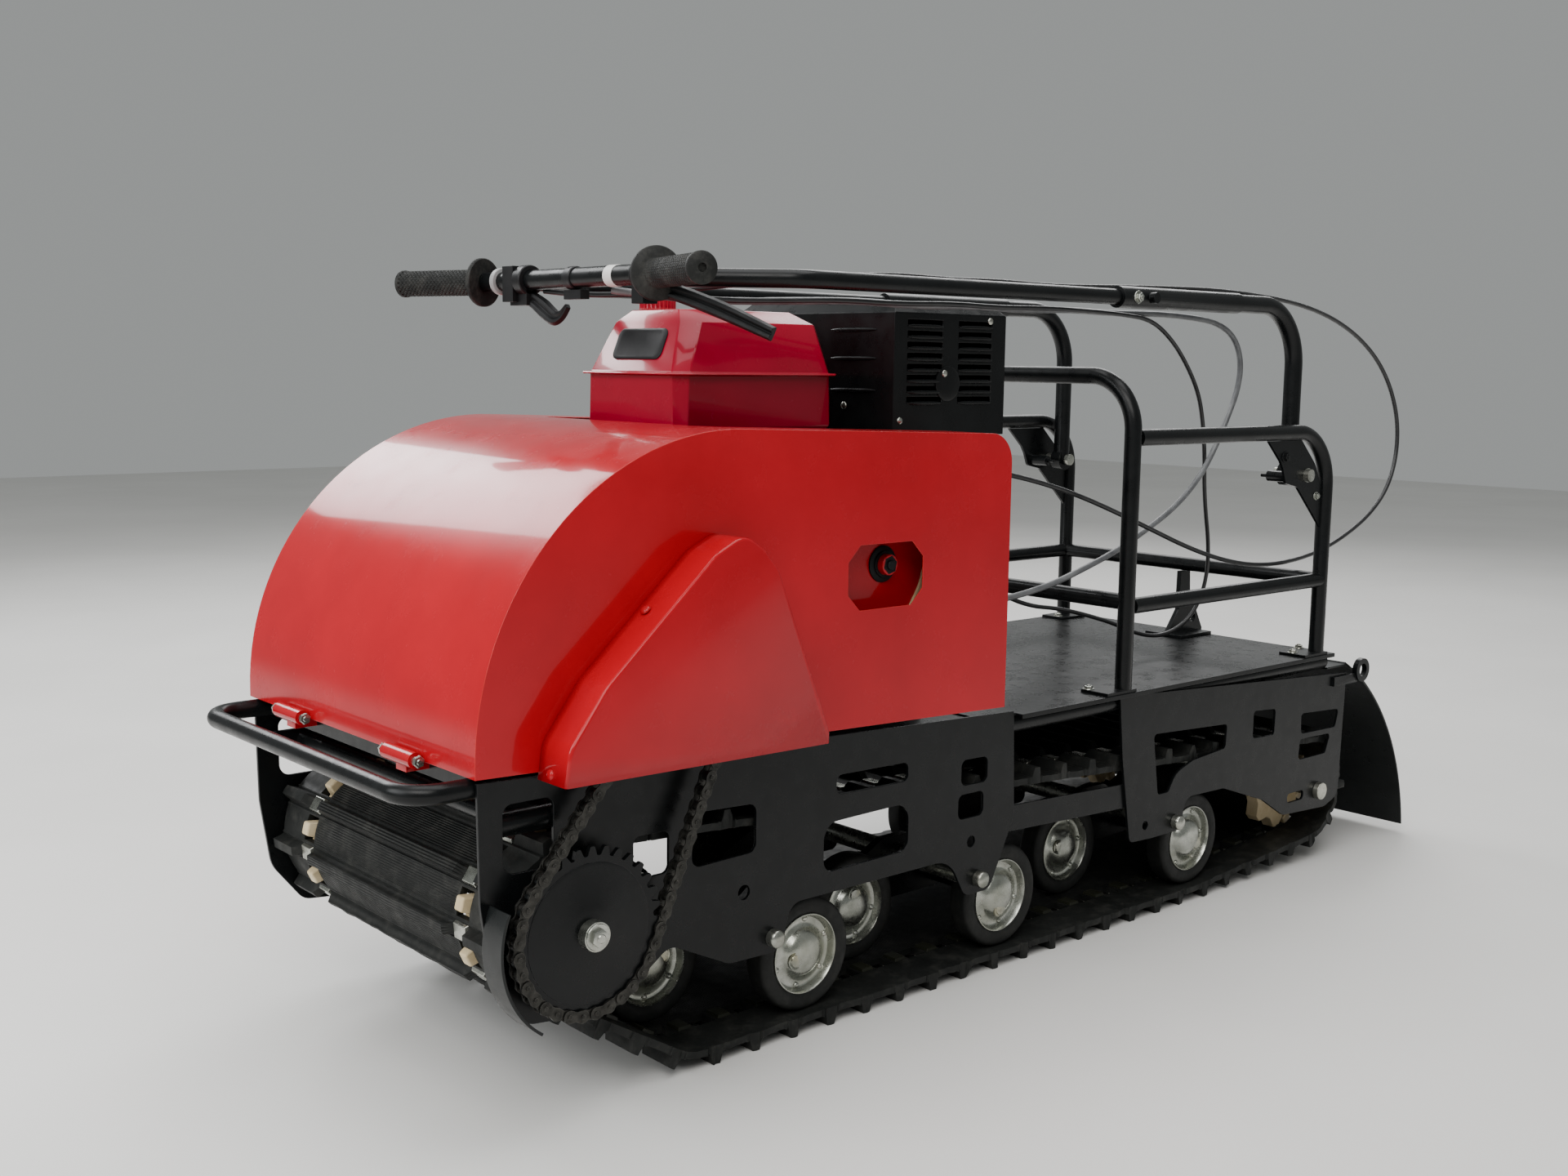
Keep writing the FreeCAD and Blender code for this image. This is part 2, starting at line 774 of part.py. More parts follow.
def make_frame():
    inner = plate_reach()
    level = size["deck_top"] - size["deck_wall"] - size["rail_radius"]
    half = inner - size["seat_gap"] - size["rail_radius"]
    pieces = []
    for name, sign in SIDES:
        start = (size["rail_front"], sign * half, level)
        pieces.append(rod(start, (size["rail_rear"], sign * half, level), size["rail_radius"]))
    crossings = (
        size["rail_front"] - 30, 420, size["front_plate_tail"] - 20, size["rear_plate_nose"],
        size["rail_rear"] + 20,
    )
    for place in crossings:
        pieces.append(rod((place, -half, level), (place, half, level), size["cross_radius"]))
    group("frame", [joined(pieces)] + lower_rails())


def lower_rails():
    rails = []
    inner = plate_reach()
    for name, sign in SIDES:
        outline = [
            (size["front_plate_tail"] + 40, 176), (size["front_plate_tail"] + 40, 208),
            (size["rear_plate_nose"] - 40, 196), (size["rear_plate_nose"] - 40, 164),
        ]
        rails.append(side_prism(outline, sign * inner - (sign > 0) * 3, sign * inner + (sign < 0) * 3))
    return rails


def make_skid():
    # The band that guards the front of the chain sprocket, standing out from the left plate.
    place = size["drive_place"]
    level = size["drive_level"]
    outer = size["skid_radius"]
    reach = size["plate_outer"]
    ring = rod((place, reach, level), (place, reach + 34, level), outer)
    ring = ring.cut(rod((place, reach, level), (place, reach + 34, level), outer - size["skid_wall"]))
    ahead = place + 400
    sector = [(place, level), (ahead, level + 175), (ahead, level - 700), (place + 170, level - 240)]
    feature("sprocket_skid", ring.common(side_prism(sector, reach, reach + 34)))


def make_bumper():
    half = plate_reach() - size["seat_gap"] - size["bumper_radius"]
    level = size["bumper_level"]
    end = size["front_plate_nose"] - 30
    reach = size["hood_front"] + size["bumper_gap"]
    points = [(end, half, level), (reach, half, level), (reach, -half, level), (end, -half, level)]
    feature("bumper", tube(points, size["bumper_bend"], size["bumper_radius"]))


def apron_face():
    # The apron's front face, just ahead of the frame rails.
    return size["rail_front"] + size["seat_gap"] + size["apron_wall"]


def make_apron():
    # A cross angle between the bumper's ends, under the hood's front edge.
    half = plate_reach() - 2 * size["seat_gap"] - 2 * size["bumper_radius"]
    place = apron_face()
    high = size["hood_low_front"] - 6
    wall = size["apron_wall"]
    sheet_metal = block((place - wall, -half, size["apron_low"]), (place, half, high))
    lip = block((place - 40, -half, high - wall), (place, half, high))
    feature("front_apron", joined([sheet_metal, lip]))


# ---------------------------------------------------------------- deck, flap, hitch

def make_deck():
    # A flat sheet with turned down edges, and a tongue between the front plates.
    top = size["deck_top"]
    wall = size["deck_wall"]
    half = size["deck_half"]
    front = size["front_plate_tail"] - 8
    rear = size["deck_rear"]
    low = top - size["deck_skirt"]
    inner = plate_reach() - size["seat_gap"]
    panel = block((front, -half, top - wall), (rear, half, top))
    tongue = block((front + 58, -inner, top - wall), (front, inner, top))
    skirts = both_sides(lambda sign: block((front, sign * half, low), (rear, sign * (half - wall), top)))
    feature("deck", joined([panel, tongue] + skirts))


def make_flap():
    # A curved sheet from the rear plates down to just above the ground.
    half = plate_reach() - size["seat_gap"]
    wall = size["flap_wall"]
    start = Vector(size["rear_plate_tail"], size["flap_top"], 0)
    finish = Vector(size["flap_reach"] + wall, size["flap_low"], 0)
    middle = Vector(size["flap_reach"] + 78, (size["flap_top"] + size["flap_low"]) / 2 + 40, 0)
    shift = Vector(-wall, 0, 0)
    back = start + shift + Vector(0, wall, 0)
    edges = [
        Part.Arc(start, middle, finish).toShape(),
        Part.makeLine(finish, finish + shift),
        Part.Arc(finish + shift, middle + shift + Vector(0, wall / 2, 0), back).toShape(),
        Part.makeLine(back, start),
    ]
    sheet = upright(Part.Face(Part.Wire(edges)).extrude(Vector(0, 0, 2 * half)), -half)
    top = size["flap_top"]
    lip = block((size["rail_rear"] - size["seat_gap"], -half, top - wall), (start.x - wall, half, top))
    feature("rear_flap", joined([sheet, lip]))


def make_eyes():
    # A bored ring on a flat strap, on the outside of each rear plate at its tail.
    eyes = []
    near = size["plate_outer"] + size["seat_gap"]
    far = near + size["eye_wall"]
    place = size["rear_plate_tail"] - size["eye_lead"]
    level = size["eye_level"]
    radius = size["eye_radius"]
    for name, sign in SIDES:
        ends = (place, sign * near, level), (place, sign * far, level)
        strap = block((place + 10, sign * near, level - radius), (place + 74, sign * (near + 4), level - 4))
        ring = joined([strap, rod(*ends, radius)])
        eyes.append(ring.cut(rod(*ends, size["eye_bore"])))
    group("lashing_eyes", eyes)


def make_hitch():
    # An upright with a gusset that ties the deck to the rear cross rail, bored for a tow pin.
    wall = size["hitch_wall"]
    base = size["deck_top"]
    top = size["mid_rail"] - size["rack_radius"]
    rear = size["rack_rear"]
    outline = [
        (rear + 12, top), (rear - 12, top), (rear - 14, base + 70), (rear - 50, base + 6),
        (rear - 50, base), (rear + 40, base), (rear + 40, base + 6), (rear + 14, base + 40),
    ]
    bore = (rear - 24, base + 24)
    post = side_prism(outline, -wall / 2, wall / 2)
    post = post.cut(rod((bore[0], -wall, bore[1]), (bore[0], wall, bore[1]), size["hitch_bore"]))
    foot = block((rear + 48, -34, base), (rear - 33, 34, base + 5))
    feature("hitch_post", joined([post, foot]))


# ---------------------------------------------------------------- cargo rack

def make_rack():
    radius = size["rack_radius"]
    half = size["rack_half"]
    front = size["rack_front"]
    rear = size["rack_rear"]
    floor = size["deck_top"] + size["foot_wall"]
    top = size["hoop_top"]
    cross = size["mid_rail"] + 6
    middle = size["mid_rail"]
    thin = size["mid_radius"]
    hoop_points = [(front, half, floor), (front, half, top), (front, -half, top), (front, -half, floor)]
    hoop = [tube(hoop_points, size["hoop_bend"], radius)]
    hoop.append(rod((front, -half, cross), (front, half, cross), thin))
    hoop += both_sides(lambda sign: foot_plate(front, sign))
    feature("rack_hoop", joined(hoop))
    pieces = []
    high = size["rail_top"]
    for name, sign in SIDES:
        y = sign * half
        points = [(front - radius, y, high), (rear, y, high), (rear, y, floor)]
        pieces.append(tube(points, size["rail_bend"], radius))
        pieces.append(rod((front - radius, y, middle), (rear, y, middle), thin))
        pieces.append(foot_plate(rear, sign))
    pieces.append(rod((rear, -half, middle), (rear, half, middle), thin))
    feature("rack_rails", joined(pieces))


def foot_plate(place, sign):
    base = size["deck_top"]
    half = size["rack_half"]
    outer = sign * (half + size["rack_radius"] - 1)
    return block((place - 16, outer, base), (place + 44, sign * (half - 34), base + size["foot_wall"]))


def make_gussets():
    # A plate across each upper bend of the rack, with the leg's pivot hole, a lens-shaped
    # opening beside the bend and a spring plunger that points inwards.
    gussets = []
    near = size["rack_half"] - size["gusset_wall"] / 2
    far = near + size["gusset_wall"]
    high = size["rail_top"] - size["rack_radius"] - size["seat_gap"]
    post = size["rack_rear"] + size["rack_radius"] + size["seat_gap"]
    rail = size["rail_top"]
    outline = [
        (post + 144, high), (post + 112, rail - 40), (post + 104, rail - 52, 6), (post + 96, rail - 72, 8),
        (post + 66, rail - 78, 12), (post, rail - 139), (post, rail - 84), (post + 22, rail - 46, 30),
        (post + 60, high),
    ]
    place = size["pivot_place"]
    level = size["pivot_level"]
    pin = (post + 84, level - 1)
    for name, sign in SIDES:
        inside = sign * near
        plate = side_prism(outline, *sorted((inside, sign * far)))
        bore = rod((place, inside, level), (place, sign * far, level), size["pin_radius"] + 0.05)
        body = rod((pin[0], sign * far, pin[1]), (pin[0], inside - sign * 32, pin[1]), size["plunger_radius"])
        tip = rod((pin[0], inside, pin[1]), (pin[0], inside - sign * 44, pin[1]), 2.5)
        gussets.append(joined([plate.cut(bore), body, tip]))
    group("pivot_gussets", gussets)


# ---------------------------------------------------------------- hood and engine

def hood_line(place, inset):
    # How high the hood's sloping top is at one place along it, some distance inside its skin.
    slope = size["hood_rise"] / (size["hood_front"] - size["hood_rear"])
    outside = size["hood_top"] + slope * (place - size["hood_rear"])
    return outside - inset * math.sqrt(1 + slope * slope)


def make_hood():
    front = size["hood_front"]
    rear = size["hood_rear"]
    wall = size["hood_wall"]
    # The front's large curve starts a brow's height above the lower edge.
    turn = math.pi / 2 + math.atan(size["hood_rise"] / (front - rear))
    rising = hood_line(front, 0) - size["hood_low_front"] - size["hood_brow"]
    curve = rising / math.tan(turn / 2)
    outline = [
        (front, size["hood_low_front"]), (front, hood_line(front, 0), curve),
        (rear, hood_line(rear, 0), size["hood_corner"]), (rear, size["hood_low_rear"]),
    ]
    body = doc.addObject("PartDesign::Body", "hood_body")
    sketch = new_sketch(body, "hood_outline", "XZ_Plane")
    draw(sketch, [outline])
    pad = body.newObject("PartDesign::Pad", "hood_pad")
    pad.Profile = sketch
    pad.Midplane = True
    pad.setExpression("Length", "2 * Dims.hood_half")
    inside = front - wall
    behind = rear - 60
    hollow = [
        (inside, 100), (inside, hood_line(inside, wall), curve - wall), (behind, hood_line(behind, wall)),
        (behind, 100),
    ]
    cut_body(body, "hood_hollow", "XZ_Plane", [hollow], [], "2 * (Dims.hood_half - Dims.hood_wall)")
    wide = size["opening_half"]
    far = size["opening_front"]
    mouth = [(rear - 40, -wide), (far, -wide, 30), (far, wide, 30), (rear - 40, wide)]
    cut_body(body, "hood_mouth", "XY_Plane", [mouth], [], "3 * Dims.hood_top")
    side_cuts = doc.addObject("Part::Feature", "hood_side_cuts")
    side_cuts.Shape = hood_side_cuts()
    shell = doc.addObject("Part::Cut", "hood_shell")
    shell.Base = body
    shell.Tool = side_cuts
    keep(shell, "hood")


def hood_side_cuts():
    # The chamfered hole over the pulley and the shaft hole on the left, the starter hole on the right.
    near = size["hood_half"] - 10
    far = size["hood_half"] + 10
    crank = (size["crank_place"], size["crank_level"])
    jack = (size["jack_place"], size["jack_level"])
    place = crank[0] + 26
    level = crank[1] - 8
    wide = 58
    tall = 36
    slot = [
        (place + wide, level - tall + 18), (place + wide, level + tall - 18),
        (place + wide - 18, level + tall), (place - wide + 18, level + tall),
        (place - wide, level + tall - 18), (place - wide, level - tall + 18),
        (place - wide + 18, level - tall), (place + wide - 18, level - tall),
    ]
    window = side_prism(slot, near, far)
    shaft = rod((jack[0], near, jack[1]), (jack[0], far, jack[1]), 40)
    reach = size["starter_radius"] + 14
    starter = rod((crank[0], -far, crank[1]), (crank[0], -near, crank[1]), reach)
    return Part.makeCompound([window, shaft, starter])


def make_hinges():
    # Tubes across the foot of the hood's front, each on a tab that reaches out from the apron.
    hinges = []
    radius = size["hinge_radius"]
    level = size["hood_low_front"] + 2
    place = size["hood_front"] + radius + size["seat_gap"]
    low = size["apron_low"] + 8
    high = size["hood_low_front"] - 3
    for name, sign in SIDES:
        middle = sign * size["hinge_half"]
        half = size["hinge_length"] / 2
        sleeve = rod((place, middle - half, level), (place, middle + half, level), radius)
        tab = block((apron_face(), middle - 10, low), (place, middle + 10, high))
        hinges.append(joined([sleeve, tab]))
    group("hood_hinges", hinges)


def make_engine():
    cradle_low = size["deck_top"] - size["deck_wall"]
    top = size["cradle_top"]
    wall = size["cradle_wall"]
    inner = size["engine_half"] + 20
    outer = size["plate_outer"] - size["plate_wall"] - 2
    hat = [
        (-outer, cradle_low), (-inner, cradle_low), (-inner, top - wall), (inner, top - wall),
        (inner, cradle_low), (outer, cradle_low), (outer, cradle_low + wall),
        (inner + wall, cradle_low + wall), (inner + wall, top), (-inner - wall, top),
        (-inner - wall, cradle_low + wall), (-outer, cradle_low + wall),
    ]
    spots = [Vector(size["engine_rear"] + 10, across, up) for across, up in hat]
    long = size["jack_place"] + 40 - size["engine_rear"] - 10
    cradle = Part.Face(Part.makePolygon(spots + spots[:1])).extrude(Vector(long, 0, 0))
    jack = (size["jack_place"], size["jack_level"])
    stands = []
    for low in (size["jack_inner"] - 4, size["engine_half"] + 14):
        outline = [
            (jack[0] - 32, top), (jack[0] + 32, top), (jack[0] + 26, jack[1] + 26, 20),
            (jack[0] - 26, jack[1] + 26, 20),
        ]
        stands.append(side_prism(outline, low, low + 8))
    bore = rod((jack[0], 0, jack[1]), (jack[0], outer, jack[1]), size["jack_shaft_radius"] + 0.1)
    feature("engine_cradle", joined([cradle] + stands).cut(bore))
    engine = doc.addObject("Part::Box", "engine_box")
    engine.setExpression("Length", "Dims.engine_front - Dims.engine_rear")
    engine.setExpression("Width", "2 * Dims.engine_half")
    engine.setExpression("Height", "Dims.engine_top - Dims.cradle_top")
    engine.setExpression("Placement.Base.x", "Dims.engine_rear")
    engine.setExpression("Placement.Base.y", "-Dims.engine_half")
    engine.setExpression("Placement.Base.z", "Dims.cradle_top")
    keep(engine, "engine")
    place = size["crank_place"]
    level = size["crank_level"]
    half = size["engine_half"]
    dome = rod((place, -half, level), (place, -half - 70, level), size["starter_radius"])
    grip = block((place - 60, -half - 74, level + 60), (place - 20, -half - 62, level + 74))
    feature("recoil_starter", joined([dome, grip]))


def make_tank():
    # A lofted tank: straight sides up to the seam flange, a long slope above it to the top.
    front = size["tank_front"]
    rear = size["tank_rear"]
    half = size["tank_half"]
    bottom = size["tank_bottom"]
    top = size["tank_top"]
    # Height, insets of the front, the rear and the sides, and the chamfer of the upright edges.
    layers = (
        (bottom, 5, 5, 5, 12), (bottom + 6, 0, 0, 0, 12), (size["tank_seam"], 0, 0, 0, 14),
        (top - 14, 24, 9, 14, 18), (top, 36, 34, 34, 14),
    )
    rings = []
    for level, ahead, behind, beside, chamfer in layers:
        rings.append(tank_ring(front - ahead, rear + behind, half - beside, chamfer, level))
    shell = Part.makeLoft(rings, True, True)
    flange = tank_ring(front + 9, rear - 9, half + 9, 20, size["tank_seam"] - 1.5)
    pieces = [shell, Part.Face(flange).extrude(Vector(0, 0, 3))]
    for place in (rear + 68, front - 122):
        pieces.append(block((place - 20, -20, size["engine_top"]), (place + 20, 20, bottom + 8)))
    feature("fuel_tank", joined(pieces))
    cap = rod((front - 62, -30, top), (front - 62, -30, top + 18), size["cap_radius"])
    feature("tank_cap", cap)


def tank_ring(front, rear, half, chamfer, level):
    spots = [
        (front, -half + chamfer), (front, half - chamfer), (front - chamfer, half), (rear + chamfer, half),
        (rear, half - chamfer), (rear, -half + chamfer), (rear + chamfer, -half), (front - chamfer, -half),
    ]
    corners = [Vector(x, y, level) for x, y in spots]
    return Part.makePolygon(corners + corners[:1])


def make_cover():
    # The sheet box round the muffler: open below, with louvre slots in its left face.
    wall = size["cover_wall"]
    rear = size["cover_rear"]
    front = size["cover_front"]
    right = size["cover_right"]
    left = size["cover_left"]
    bottom = size["cover_bottom"]
    top = size["cover_top"]
    outer = block((rear, right, bottom), (front, left, top))
    outer = outer.makeChamfer(14, [edge for edge in outer.Edges if edge.BoundBox.ZMin > top - 1])
    inner = block((rear + wall, right + wall, bottom - 10), (front - wall, left - wall, top - 16))
    cuts = []
    for column in (front - 22, front - 110):
        for number in range(8):
            level = top - 25 - size["louvre_pitch"] * number
            start = (column - size["louvre_length"], left - 8, level - 3)
            cuts.append(block(start, (column, left + 8, level + 3)))
    shell = outer.cut(inner).cut(Part.makeCompound(cuts))
    floor = block((rear + wall, right + wall, bottom), (front - wall, left - wall, bottom + 4))
    bracket = block((size["engine_rear"], -60, size["engine_top"]), (front - wall, 60, bottom + 4))
    feature("muffler_cover", joined([shell, floor, bracket]))


# ---------------------------------------------------------------- handle

def leg_half():
    # How far each leg's middle is from the middle of the machine, inside the rack's rails.
    return size["rack_half"] - size["rack_radius"] - size["leg_gap"] - size["leg_radius"]


def make_legs():
    place = size["pivot_place"]
    level = size["pivot_level"]
    top = size["handle_level"]
    radius = size["leg_radius"]
    rear = size["sleeve_rear"]
    front = size["sleeve_front"]
    pin = size["pin_radius"]
    bore_radius = size["arm_radius"] + size["sleeve_clearance"]
    gusset = size["rack_half"] - size["gusset_wall"] / 2
    legs = []
    pins = []
    for name, sign in SIDES:
        y = sign * leg_half()
        pipe = tube([(place, y, level), (place, y, top), (rear + 10, y, top)], size["leg_bend"], radius)
        boss = rod((place, y - 9, level), (place, y + 9, level), 17)
        sleeve = rod((rear, y, top), (front, y, top), size["sleeve_radius"])
        bore = rod((rear + 14, y, top), (front, y, top), bore_radius)
        clamp_start = (front - 56, y + sign * size["sleeve_radius"] * 0.9, top)
        clamp = rod(clamp_start, (front - 56, y + sign * 22, top), 7)
        leg = joined([pipe, boss, sleeve, clamp]).cut(bore)
        inner = y - sign * (radius + 0.1)
        spacer = y + sign * (radius + 0.1)
        plate = sign * (gusset - 0.1)
        outer = sign * (gusset + size["gusset_wall"] + 0.1)
        end = outer + sign * 8
        bolt = rod((place, inner, level), (place, end, level), pin)
        pieces = [bolt, rod((place, spacer, level), (place, plate, level), 9)]
        pieces.append(rod((place, outer, level), (place, end, level), 9))
        pieces.append(rod((place, inner - sign * 7, level), (place, inner, level), 9))
        bore = rod((place, y - 30, level), (place, y + 30, level), pin + 0.05)
        legs.append(leg.cut(bore))
        pins.append(joined(pieces))
    group("handle_legs", legs)
    group("pivot_bolts", pins)


def grip_line(sign, distance):
    # A place on the swept end of the bar, that far out from the bend.
    sweep = math.radians(size["grip_sweep"])
    x = size["bar_place"] + distance * math.sin(sweep)
    y = sign * (size["bar_half"] + distance * math.cos(sweep))
    return (x, y, size["handle_level"])


def make_bar():
    level = size["handle_level"]
    end = size["grip_length"] + 4
    bends = [(size["bar_place"], -size["bar_half"], level), (size["bar_place"], size["bar_half"], level)]
    pieces = [tube([grip_line(-1, end)] + bends + [grip_line(1, end)], 40, size["bar_radius"])]
    start = size["sleeve_front"] - size["arm_overlap"]
    for name, sign in SIDES:
        wide = sign * leg_half()
        narrow = sign * size["bar_neck"]
        place = size["bar_place"]
        points = [
            (start, wide, level), (place - 160, wide, level), (place - 62, narrow, level),
            (place, narrow, level),
        ]
        pieces.append(tube(points, 50, size["arm_radius"]))
    feature("handlebar", joined(pieces))
    grips = []
    for name, sign in SIDES:
        near = grip_line(sign, 8)
        flange = grip_line(sign, 14)
        far = grip_line(sign, size["grip_length"] + 8)
        sleeve = rod(near, far, size["grip_radius"])
        collar = rod(near, flange, size["grip_flange"])
        bore = rod(near, grip_line(sign, end + 0.1), size["bar_radius"] + 0.05)
        grips.append(joined([sleeve, collar]).cut(bore))
    group("grips", grips)


def clamp_ring(low, high, radius):
    place = size["bar_place"]
    level = size["handle_level"]
    ring = rod((place, low, level), (place, high, level), radius)
    return ring, rod((place, low, level), (place, high, level), size["bar_radius"] + 0.05)


def make_controls():
    place = size["bar_place"]
    level = size["handle_level"]
    half = size["bar_half"]
    ring, bore = clamp_ring(half - 22, half - 8, 16)
    points = [
        (place + 2, half - 15, level - 27), (place - 6, half + 30, level - 46),
        (place - 20, half + 128, level - 68),
    ]
    stem = rod((place, half - 15, level - 12), (place, half - 15, level - 28), 9)
    feature("brake_lever", joined([ring, stem, tube(points, 40, 7)]).cut(bore))
    ring, bore = clamp_ring(-half + 8, -half + 21, 17)
    points = [
        (place, -half + 10, level - 22), (place - 6, -half + 53, level - 34),
        (place - 12, -half + 93, level - 46),
    ]
    stem = rod((place, -half + 14, level - 12), (place, -half + 14, level - 28), 6)
    feature("throttle_lever", joined([ring, stem, tube(points, 40, 6)]).cut(bore))
    ring, bore = clamp_ring(-half + 49, -half + 71, 18)
    case = block((place - 14, -half + 49, level - 24), (place + 14, -half + 71, level + 16))
    feature("stop_switch", case.cut(bore))


# ---------------------------------------------------------------- cables

BRAKE_CABLE = [
    (545, 132, 812), (480, 148, 806), (400, 172, 808), (322, 190, 811), (240, 197, 809),
    (155, 199, 812), (72, 197, 810), (-12, 199, 812), (-94, 196, 811), (-170, 193, 809),
    (-238, 190, 804), (-290, 187, 778), (-338, 179, 744), (-380, 170, 706), (-408, 160, 664),
    (-427, 152, 618), (-438, 146, 574), (-452, 141, 534), (-472, 134, 492), (-485, 127, 446),
    (-484, 118, 402), (-466, 108, 368), (-430, 94, 348), (-386, 84, 352), (-330, 78, 374),
    (-268, 77, 392), (-200, 80, 408), (-130, 86, 418), (-60, 94, 442), (8, 104, 472),
    (71, 112, 497), (129.7, 112, 497),
]
CLUTCH_CABLE = [
    (548, 70, 816), (505, 118, 808), (440, 150, 806), (366, 170, 809), (288, 181, 811),
    (200, 184, 808), (110, 186, 811), (20, 184, 809), (-70, 186, 812), (-160, 184, 810),
    (-250, 186, 812), (-328, 184, 810), (-394, 186, 804), (-440, 185, 784), (-464, 181, 748),
    (-465, 176, 710), (-452, 171, 674), (-432, 167, 632), (-406, 164, 594), (-374, 161, 564),
    (-336, 159, 540), (-276, 160, 515), (-215, 163, 494), (-150, 167, 478), (-77, 168, 460),
    (-4, 152, 445), (64, 122, 436), (129.7, 122, 436),
]
THROTTLE_CABLE = [
    (548, -60, 818), (533, 0, 812), (500, 62, 815), (450, 112, 822), (392, 150, 830),
    (318, 177, 838), (236, 186, 842), (150, 188, 840), (62, 186, 842), (-26, 188, 840),
    (-114, 186, 842), (-202, 188, 845), (-290, 186, 847), (-376, 187, 848), (-462, 185, 846),
    (-546, 186, 841), (-624, 188, 831), (-694, 190, 815), (-760, 192, 790), (-816, 194, 756),
    (-857, 196, 712), (-880, 198, 660), (-880, 199, 606), (-858, 199, 556), (-812, 198, 518),
    (-752, 196, 490), (-682, 194, 468), (-601, 191, 456), (-514, 189, 456), (-430, 187, 470),
    (-346, 185, 494), (-262, 184, 524), (-176, 184, 554), (-96, 182, 580), (-20, 162, 602),
    (60, 120, 618), (129.7, 120, 618),
]


def make_cables():
    cables = (
        ("brake_cable", BRAKE_CABLE, 3), ("clutch_cable", CLUTCH_CABLE, 4),
        ("throttle_cable", THROTTLE_CABLE, 3.2),
    )
    for label, route, radius in cables:
        wire, radii = route_wire(route, None)
        cord = tube(route, None, radius)
        expected = math.pi * radius ** 2 * wire.Length
        runs = [(Vector(*b) - Vector(*a)).Length for a, b in zip(route, route[1:])]
        print(label, "length %.0f volume ratio %.4f" % (wire.Length, cord.Volume / expected))
        print("  smallest bend %.0f, runs %.0f to %.0f" % (min(radii), min(runs), max(runs)))
        feature(label, cord)


# ---------------------------------------------------------------- build and write

make_track()
make_wheels()
make_axles(make_rockers())
make_sprocket()
make_belt_drive()
make_chain()
make_chain_guard()
make_front_plates()
make_rear_plates()
make_frame()
make_skid()
make_bumper()
make_apron()
make_deck()
make_flap()
make_eyes()
make_hitch()
make_rack()
make_gussets()
make_hood()
make_hinges()
make_engine()
make_tank()
make_cover()
make_legs()
make_bar()
make_controls()
make_cables()
doc.recompute()

for obj in doc.Objects:
    if "Invalid" in obj.State or "Error" in obj.State:
        raise RuntimeError("failed: " + obj.Name)

os.makedirs("parts", exist_ok=True)
for node in nodes:
    if node.Shape.isNull() or not node.Shape.isValid():
        raise RuntimeError("bad shape: " + node.Label)
    node.Shape.exportStep("parts/" + node.Label + ".step")
    box = node.Shape.BoundBox
    print("%-24s %2d %9.0f  x %6.0f %6.0f  y %6.0f %6.0f  z %6.0f %6.0f" % (
        node.Label, len(node.Shape.Solids), node.Shape.Volume / 1000,
        box.XMin, box.XMax, box.YMin, box.YMax, box.ZMin, box.ZMax))
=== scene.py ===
import json
import math

import bpy
import bmesh
import numpy as np
from mathutils import Matrix, Vector


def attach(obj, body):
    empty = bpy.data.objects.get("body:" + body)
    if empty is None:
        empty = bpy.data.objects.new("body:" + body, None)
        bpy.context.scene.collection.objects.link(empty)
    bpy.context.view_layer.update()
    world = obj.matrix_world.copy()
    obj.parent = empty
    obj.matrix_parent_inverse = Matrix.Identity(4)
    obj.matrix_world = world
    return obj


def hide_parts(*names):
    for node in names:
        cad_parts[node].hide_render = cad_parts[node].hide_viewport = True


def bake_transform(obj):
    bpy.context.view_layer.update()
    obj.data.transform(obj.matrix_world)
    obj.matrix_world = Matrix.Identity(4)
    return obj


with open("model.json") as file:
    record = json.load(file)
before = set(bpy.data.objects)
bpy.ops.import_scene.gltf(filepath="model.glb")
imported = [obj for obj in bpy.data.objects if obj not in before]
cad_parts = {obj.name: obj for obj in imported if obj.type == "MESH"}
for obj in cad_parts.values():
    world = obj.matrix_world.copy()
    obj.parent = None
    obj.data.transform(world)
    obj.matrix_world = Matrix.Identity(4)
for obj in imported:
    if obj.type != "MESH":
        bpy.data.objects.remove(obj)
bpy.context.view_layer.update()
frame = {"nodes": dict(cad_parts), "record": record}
cadNodes = frame["nodes"]
rng = np.random.default_rng(7)
print("frame loaded:", len(cadNodes), "nodes")

# Blender works in metres. The sizes of pieces are in millimetres, which mm() turns into metres.
# X is forward, Y the vehicle's left, Z up.


def mm(*values):
    scaled = tuple(value / 1000.0 for value in values)
    return scaled[0] if len(scaled) == 1 else scaled


upwards, leftwards, rightwards, forwards = (0, 0, 1), (0, 1, 0), (0, -1, 0), (1, 0, 0)
bodyOfNode = {}
for bodyName, members in frame["record"]["behaviour"]["bodies"].items():
    for member in members:
        bodyOfNode[member] = bodyName
slotOfNode = {part["node"]: part["material_slot"] for part in frame["record"]["subparts"]}


def placed(name, data):
    holder = bpy.data.objects.new(name, data)
    bpy.context.scene.collection.objects.link(holder)
    return holder


# Materials: every one is worked out from Object coordinates, in metres.

